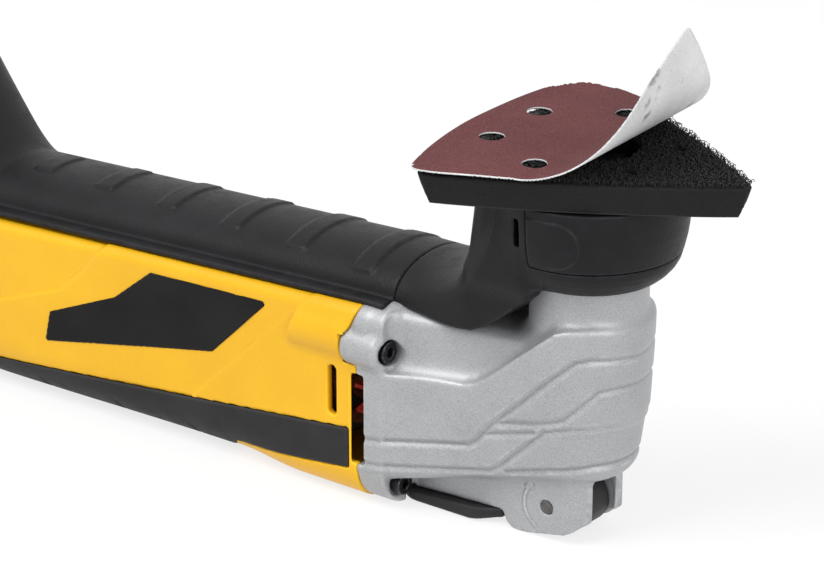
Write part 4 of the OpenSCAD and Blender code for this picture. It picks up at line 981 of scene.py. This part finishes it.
moulded("dust_channel", duct_field, (-271, -26.5, 56), (-55.5, 26.5, 107), 0.78,
        black_polypropylene, ("dust_duct", "hose_adapter"), "duct_plastic")

# Dust collar
# The black moulding round the neck that draws the dust from under the pad through a chimney into the duct.
collar_wall = ([82.5, 83.5, 85, 87, 89, 92, 96, 99.4, 108.5],
               [20.2, 21.8, 23.6, 25.3, 26.4, 27.3, 28.2, 28.7, 29.2])
skirt_edge = ([-57, -35, -29.9, -24.5, -19.1, -13.7, -6.6, -1.4, 4],
              [64.5, 64.5, 64.9, 65.7, 68.3, 72.4, 78.5, 82.5, 82.5])
collar_top = 110.2


def saddle_form(x, s, z):
    """Arched back of the saddle, which rises from the duct to the collar."""
    wide = 20 + 5.1 * ease((x + 56.5) / 32)
    middle = 65.8 + (40 - np.sqrt(1600 - np.clip(x + 55, 0, 39.6) ** 2))
    return np.where(z > middle, oval(s, z - middle, wide, 10.7), s - wide)


def collar_body(x, s, z):
    """Outer form of the collar with its chimney and saddle, before its front ring is parted."""
    turned = meet(hyp(x, s) - np.interp(z, *collar_wall), between(z, 82.5, collar_top), 0.7)
    saddle = meet(meet(saddle_form(x, s, z), np.interp(x, *skirt_edge) - z, 0.8), between(x, -56.4, -6), 0.5)
    back = -27.2 - 0.13 * (107 - z) - x
    flue = meet(meet(s - 24.9, back, 9.0), between(z, 84, collar_top), 0.7)
    flue = most(flue, x - 0.5)
    return most(join(join(most(saddle, z - collar_top), flue, 7.0), turned, 2.0), z - collar_top)


def collar_field(x, y, z):
    s = np.abs(y)
    solid = collar_body(x, s, z)
    r = hyp(x, y)
    way = most(r - 24.2, 88.6 - z)
    inner = saddle_form(x, s, z) + 2.4
    inner = most(inner, np.interp(x, *skirt_edge) + 2.4 - z, x + 19.5, z - 100.5)
    flue = most(meet(s - 22.5, -25.4 - x, 7.0), x + 6, 85.5 - z)
    way = least(way, inner, flue, r - 17.55)
    solid = cut(solid, way, 0.4)
    solid = cut(solid, most(-2.62 - x, 91.38 - z, 24.2 - r), 0.3)
    return cut(solid, brick(x, s, z, (-7.3, 18, 97), (-5.2, 40, 105.5), 0.4), 0.35)


moulded("collar_and_flue", collar_field, (-57.4, -30, 63.5), (30, 30, 110.9), 0.6,
        black_polypropylene, ("dust_collar",), "duct_plastic")

# Front ring of the collar
# A snap on half ring with a smooth thumb pad at each side.


def ring_field(x, y, z):
    s = np.abs(y)
    r = hyp(x, y)
    wall = r - np.interp(z, *collar_wall)
    arc = 27.5 * np.arctan2(x, most(s, 0.01))
    tab = np.where(arc > 6.8, hyp(arc - 6.8, z - 100) - 7.2, between(z, 92.8, 107.2))
    tab = most(tab, -1.9 - arc)
    proud = 0.6 * ease(0.5 - tab / 0.9)
    solid = meet(wall - proud, most(between(z, 91.62, collar_top - 0.1), -2.4 - x), 0.45)
    return most(solid, 24.5 - r)


moulded("collar_front_ring", ring_field, (-3.2, -31, 91), (31, 31, 110.8), 0.5,
        black_polypropylene, ("collar_ring",), "duct_plastic")

# Sanding pad
# A block of black closed cell foam, moulded round a glass filled plate and wider towards its hook layer.


def off(x, y, r, angle):
    """Distance in the plane to a spot given by its radius and its angle in degrees."""
    a = math.radians(angle)
    return hyp(x - r * math.cos(a), y - r * math.sin(a))


def pad_edge(x, y, side=31.5, bow=355.0, corner=53.9, soft=1.5):
    """Distance in the plane to a delta outline with bowed sides."""
    d = hyp(x, y) - corner
    for k in (60, 180, 300):
        d = meet(d, off(x, y, side - bow, k) - bow, soft)
    return d


def pad_bores(x, y, r):
    return least(hyp(x, y) - 14, *(off(x, y, 25.2, 30 + 60 * k) - r for k in range(6)))


foam_top = 120.1


def foam_field(x, y, z):
    wave = 0.22 * np.sin(0.31 * x + 1.0) * np.sin(0.27 * y + 0.4) + 0.12 * np.sin(0.9 * x - 0.7 * y)
    side = pad_edge(x, y) + 3.5 * unit((foam_top - z) / 9.4)
    block = meet(side, between(z, 110.75 + 0.5 * wave, foam_top), 0.5)
    plate_room = most(pad_edge(x, y) + 5.0, z - 113.8)
    return most(block, -least(plate_room, pad_bores(x, y, 3.35)))


@finish
def pad_foam_rubber(place):
    pores = place.cells(900)
    big = place.cells(330)
    cloud = place.cloud(70)
    chalk = place.noise(1400, 2, 0.63, 0.75) * place.noise(90, 3, 0.45, 0.7)
    tone = cloud * 0.35 + pores.clear(0, 0.7) * 0.35 + chalk * 0.55 - big.clear(0.16, 0) * 0.4
    return dict(colour=tone.clear(-0.4, 1.1).tint((0.0022, 0.0020, 0.0021), (0.0135, 0.0122, 0.0125)),
                rough=0.86, normal=(pores * 0.6 + big.clear(0, 0.25)).bump(0.55, 0.0005), gloss=0.3)


foam = moulded("foam_block", foam_field, (-33.5, -49, 110.1), (55.5, 49, 120.9), 0.62,
               pad_foam_rubber, ("pad_foam",), "pad_foam", "rocker")

# Hook layer
# Black nylon moulded hooks on a thin backing glued to the foam; some are bent or flattened by use.


def backing_field(x, y, z):
    face = meet(pad_edge(x, y) + 0.2, between(z, 120.12, 120.5 + 1.0 * ease((-26.5 - x) / 2)), 0.15)
    return most(face, -pad_bores(x, y, 2.0))


@finish
def hook_nylon(place):
    cloud = place.noise(120, 3, 0.3, 0.7)
    thread = place.noise(2400, 2, 0.35, 0.65)
    return dict(colour=(cloud * 0.5 + thread * 0.5).tint((0.0022, 0.0020, 0.0021), (0.0120, 0.0110, 0.0114)),
                rough=0.52 + thread * 0.2, normal=thread.bump(0.2, 0.0002))


moulded("hook_backing", backing_field, (-33.5, -49, 119.7), (55.5, 49, 122.1), 0.8,
        hook_nylon, ("hook_face",), "hooks", "rocker")


def hook_part(high):
    """One hook, given its height: a stem that bends over at its top and curls in."""
    path = [(0.0, 0.0), (-0.1, 0.4), (-0.04, 0.75), (0.24, 0.98), (0.55, 0.9), (0.66, 0.62), (0.46, 0.42)]
    thick = [0.2, 0.17, 0.16, 0.15, 0.14, 0.12, 0.07]
    points, faces, last = [], [], len(path) - 1
    for i, ((px, pz), r) in enumerate(zip(path, thick)):
        (x0, z0), (x1, z1) = path[max(i - 1, 0)], path[min(i + 1, last)]
        ax, az = x1 - x0, z1 - z0
        n = math.hypot(ax, az)
        for k in range(3):
            c, d = math.cos(k * math.pi / 1.5), math.sin(k * math.pi / 1.5)
            points.append((px * high + az / n * r * c, r * d, pz * high - ax / n * r * c))
    for i in range(last):
        for k in range(3):
            a, b = 3 * i + k, 3 * i + (k + 1) % 3
            faces.append((a, b, b + 3, a + 3))
    faces += [(3 * last, 3 * last + 1, 3 * last + 2), (2, 1, 0)]
    return loose("hook", points, faces)


def sheet_edge(x, y):
    """Leaf outline of the sheet, longer at its front corner and blunter at the far one."""
    leaf = pad_edge(x, y, 35.0, 170.0, 55.0 + 4.0 * unit((x - 30) / 20), 2.0)
    return meet(leaf, 0.866 * y - 0.5 * x - 50.6, 8.0)


def turned(x, y, way):
    """Turns places in the plane by the angle at which the sheet was pressed on."""
    c, s = math.cos(math.radians(4.4)), way * math.sin(math.radians(4.4))
    return x * c - y * s, x * s + y * c


chance = np.random.default_rng(11)
hook_gap = 0.88
gx, gy = np.meshgrid(np.arange(-32.0, 55, hook_gap), np.arange(-49.0, 49, hook_gap), indexing="ij")
gx, gy = gx.ravel(), gy.ravel()
gx, gy = gx + chance.uniform(-0.45, 0.45, gx.size), gy + chance.uniform(-0.45, 0.45, gy.size)
keep = (pad_edge(gx, gy) < -0.3) & (pad_bores(gx, gy, 2.2) > 0)
keep &= (gx > 2) | (gy < 0) | (sheet_edge(*turned(gx + 3.9, gy - 0.6, -1)) < -0.8)
gx, gy = gx[keep], gy[keep]
lean = np.stack([chance.normal(0, 0.24, gx.size), chance.normal(0, 0.24, gx.size),
                 chance.uniform(0, 6.283, gx.size)], 1)
roots = np.stack([gx, gy, np.full(gx.size, 120.42)], 1)
hook_high = 1.5
for name, there in (("hooks_under_sheet", gx < 2), ("hooks_open", gx >= 2)):
    set_out(name, hook_part(hook_high), roots[there], lean[there], "rocker", hook_nylon, (), 5, 0.3)

# Sanding sheet
# Aluminium oxide paper with a white loop back. It is pressed on the hooks off centre, and its front corner
# has been peeled up, so that it shows its back.


def sheet_mesh():
    """Sheet as two faces and an edge, cut to a leaf outline with four dust holes."""
    n = 240
    grid = np.linspace(-60, 60, n + 1)

    def solid(x, y):
        holes = least(*(off(x, y, 26, 30 + 60 * k) - 3.75 for k in range(1, 5)))
        return most(sheet_edge(x, y), -holes)

    x, y = np.meshgrid(grid, grid, indexing="ij")
    cell = grid[1] - grid[0]
    for _ in range(3):
        d = solid(x, y)
        gx = (solid(x + 0.05, y) - solid(x - 0.05, y)) / 0.1
        gy = (solid(x, y + 0.05) - solid(x, y - 0.05)) / 0.1
        close = np.abs(d) < 0.55 * cell
        x, y = np.where(close, x - d * gx, x), np.where(close, y - d * gy, y)
    d = solid(x, y)
    number = np.arange((n + 1) ** 2).reshape(n + 1, n + 1)
    quads = np.stack([number[:-1, :-1], number[1:, :-1], number[1:, 1:], number[:-1, 1:]], -1).reshape(-1, 4)
    used, quads = np.unique(quads[(d.ravel()[quads] < 0.02).all(1)], return_inverse=True)
    return x.ravel()[used], y.ravel()[used], quads.reshape(-1, 4)


def sheet_shape(x, y, h):
    """Bends the flat sheet: its front corner, a little larger than the others, curls up off the hooks."""
    edge = sheet_edge(x, y)
    y = y * (1 + 0.2 * unit(x / 30))
    curl_r, flat_to, steep = 27.0, 2.8, math.radians(76)
    u = np.where(x > 0, x * 1.05, x) - flat_to
    lift = np.clip(u / curl_r, 0, steep)
    rest = most(u - curl_r * steep, 0)
    px = np.where(u > 0, curl_r * np.sin(lift) + rest * math.cos(steep), u) + flat_to - h * np.sin(lift)
    pz = curl_r * (1 - np.cos(lift)) + rest * math.sin(steep) + h * np.cos(lift)
    flat = unit(1 - u / 10)
    near = unit((-y - 20) / 20) * ease((edge + 9) / 9)
    rear = unit((-x - 20) / 12) * ease((edge + 9) / 9)
    pz = pz + flat * (0.35 * rear - 0.3 * near) + 0.12 * np.sin(0.21 * x + 0.5) * np.sin(0.18 * y) * flat
    px, y = turned(px, y, 1)
    return np.stack([px - 3.9, y + 0.6, pz + 121.95], 1)


sx, sy, quads = sheet_mesh()
count = len(sx)
under, top = sheet_shape(sx, sy, 0.0), sheet_shape(sx, sy, 0.5)
sides = np.concatenate([quads[:, [i, (i + 1) % 4]] for i in range(4)])
_, where, times = np.unique(np.sort(sides, 1), axis=0, return_inverse=True, return_counts=True)
rim = sides[times[where.ravel()] == 1]
faces = np.concatenate([quads[:, ::-1], quads + count, np.concatenate([rim, rim[:, ::-1] + count], 1)])


@finish
def abrasive_grit(place):
    grit = place.cells(1500)
    grain = place.noise(2600, 2)
    cloud = place.cloud(40)
    tone = grit.clear(0, 0.75) * 0.5 + grain.clear(0.3, 0.7) * 0.3 + cloud * 0.25
    return dict(colour=tone.tint((0.036, 0.0085, 0.0095), (0.178, 0.056, 0.058)), rough=0.78, gloss=0.25,
                normal=(grit * 0.7 + grain * 0.5).bump(0.5, 0.0004))


@finish
def loop_backing(place):
    pile = place.noise(1700, 3)
    cloud = place.cloud(32)
    stain = place.noise(85, 5, 0.645, 0.72)
    return dict(colour=(pile.clear(0.3, 0.7) * 0.35 + cloud * 0.5 - stain * 1.0).clear(-0.8, 0.85).tint(
        (0.19, 0.19, 0.195), (0.84, 0.84, 0.845)), rough=0.88, normal=pile.bump(0.4, 0.0004))


sheet = piece("delta_sheet", np.concatenate([under, top]), faces.tolist(), "rocker", loop_backing,
              ("sanding_sheet",), "abrasive")
sheet.data.materials.append(abrasive_grit)
sheet.data.polygons.foreach_set("material_index", [0] * len(quads) + [1] * len(quads) + [0] * len(rim))
